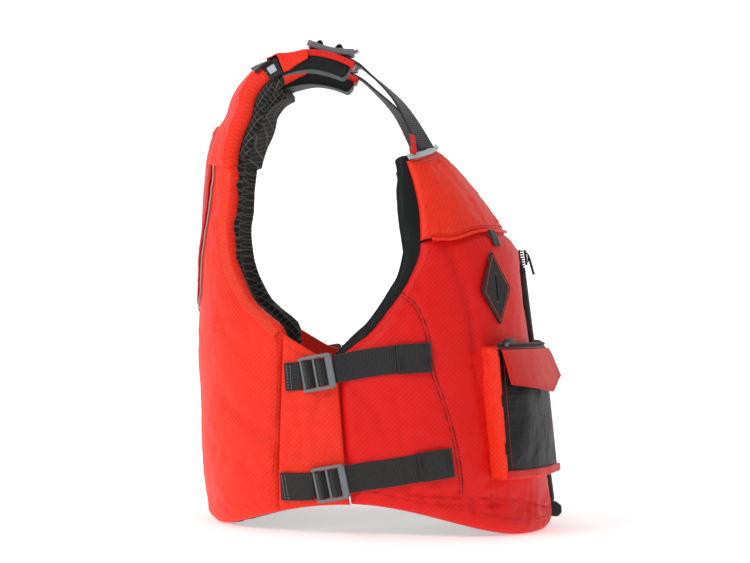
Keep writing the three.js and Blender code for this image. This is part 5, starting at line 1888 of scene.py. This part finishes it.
@dataclass
class LashTab:
    """The moulded diamond on the chest, with one slit and a stitched edge."""

    height: float = 78.0
    width: float = 50.0
    thickness: float = 2.5
    slit: float = 26.0
    angle: float = 43.5
    centre: float = 258.0

    def corners(self, grow: float = 0.0) -> Points:
        """The diamond's corners with a little extra all round."""
        w, h = self.width / 2 + grow, self.height / 2 + grow
        return np.array([(-w, -4), (2, -h), (w, 0), (-3, h)])

    def rounded(self, corners: Points, radius: float) -> Points:
        """The outline with cut and rounded corners."""
        points = []
        count = len(corners)
        for i in range(count):
            before, here, after = corners[i - 1], corners[i], corners[(i + 1) % count]
            a = here + unit(before - here) * radius
            b = here + unit(after - here) * radius
            for t in np.linspace(0, 1, 5):
                points.append((1 - t) ** 2 * a + 2 * t * (1 - t) * here + t**2 * b)
        return np.array(points)

    def build(self) -> None:
        """Makes both tabs."""
        place = FORM.frame(self.angle, self.centre, 3.6)
        slit = np.array([(-1.1, -self.slit / 2), (1.1, -self.slit / 2), (1.1, self.slit / 2), (-1.1, self.slit / 2)])
        shape = self.rounded(self.corners(), 3.5)
        points, faces = plate(shape, place, self.thickness, slit, 0.6)
        piece = make_piece("right_diamond", points, faces, TAB_RUBBER)
        fit_pair(piece, Fit("*_front", "tab_rubber", ("*_lash_tab",)))
        rim = self.rounded(self.corners(-4.5), 3.0)
        rim = np.vstack([rim, rim[:1]])
        run = np.array([place @ Vector((x * MM, y * MM, (self.thickness + 0.1) * MM)) for x, y in rim])
        out = np.tile(np.array(place.to_3x3() @ Vector((0, 0, 1))), (len(run), 1))
        ends = []
        for y in (-self.slit / 2 - 2.5, self.slit / 2 + 2.5):
            line = [place @ Vector((x * MM, y * MM, (self.thickness + 0.1) * MM)) for x in np.linspace(-3, 3, 5)]
            ends.append((np.array(line), out[:5]))
        fit_pair(stitches("right_diamond_stitching", [(run, out), *ends], ORANGE_THREAD, 3.0, 2.3, 0.5),
                 Fit("*_front", "tab_rubber"))


# ---- The studio ----------------------------------------------------------------------


@dataclass(frozen=True)
class Studio:
    """The camera, the lights, the pale floor and the backdrop."""

    azimuth: float = 270.7
    distance: float = 2.7
    aim: tuple[float, float, float] = (0.0, 0.0057, 0.262)
    lens: float = 117.8
    roll: float = 1.5

    def camera(self) -> None:
        """Places the camera level, nearly straight at the wearer's right."""
        angle = math.radians(self.azimuth)
        back = Vector((math.sin(angle), -math.cos(angle), 0.0))
        data = bpy.data.cameras.new("camera")
        data.lens = self.lens
        data.sensor_width = 36.0
        data.clip_end = 50.0
        camera = bpy.data.objects.new("camera", data)
        turned = (-back).to_track_quat("-Z", "Y").to_matrix().to_4x4()
        camera.matrix_world = (Matrix.Translation(Vector(self.aim) + back * self.distance) @ turned
                               @ Matrix.Rotation(math.radians(self.roll), 4, "Z"))
        bpy.context.scene.collection.objects.link(camera)
        bpy.context.scene.camera = camera

    def lamp(self, name: str, place: tuple[float, float, float], size: float, power: float) -> None:
        """Adds a soft square light that looks at the jacket."""
        data = bpy.data.lights.new(name, "AREA")
        data.shape, data.size, data.energy = "SQUARE", size, power
        light = bpy.data.objects.new(name, data)
        light.location = place
        light.rotation_euler = (Vector(self.aim) - Vector(place)).to_track_quat("-Z", "Y").to_euler()
        bpy.context.scene.collection.objects.link(light)

    def surroundings(self) -> None:
        """The floor, the backdrop and an even sky."""
        pale = Recipe("pale_floor", linear(250, 250, 250), 0.9)
        tone = pale.speckle(400.0, 1.0)
        pale.colour = pale.tint(tone, linear(248, 248, 248), linear(252, 252, 252))
        pale.shader.inputs["Emission Color"].default_value = (1.0, 1.0, 1.0, 1.0)
        pale.shader.inputs["Emission Strength"].default_value = 0.42
        finish = pale.finished()
        for name, corners in (
            ("floor", [(-6, -6, 0), (6, -6, 0), (6, 6, 0), (-6, 6, 0)]),
            ("backdrop", [(4, -6, 0), (4, 6, 0), (4, 6, 5), (4, -6, 5)]),
        ):
            mesh = bpy.data.meshes.new(name)
            mesh.from_pydata(corners, [], [(0, 1, 2, 3)])
            mesh.materials.append(finish)
            plane = bpy.data.objects.new(name, mesh)
            bpy.context.scene.collection.objects.link(plane)
        world = bpy.data.worlds.new("even_sky")
        world.use_nodes = True
        sky = world.node_tree.nodes["Background"]
        sky.inputs["Color"].default_value = (1.0, 1.0, 1.0, 1.0)
        sky.inputs["Strength"].default_value = 0.38
        bpy.context.scene.world = world
        bpy.context.scene.view_settings.view_transform = "Standard"

    def build(self) -> None:
        """Sets up the studio."""
        self.camera()
        self.surroundings()
        self.lamp("key", (-2.3, 1.9, 2.2), 1.2, 42.0)
        self.lamp("fill", (-2.6, -1.8, 1.0), 2.0, 3.0)
        self.lamp("top", (0.2, 0.2, 2.6), 1.8, 12.0)


def main() -> None:
    """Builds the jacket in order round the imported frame."""
    logging.basicConfig(level=logging.INFO, format="%(message)s")
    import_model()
    Studio().build()
    BackPanel().build()
    SidePanel().build()
    front = FrontHalf().build()
    ArmholeRoll().build()
    Yoke().build()
    Shoulder().build()
    for plan in (UPPER, LOWER):
        SideStrap(plan).build(front)
    ShoulderBuckle().build()
    CentreZip().build()
    BoxPocket().build()
    LashTab().build()


if __name__ == "__main__":
    main()
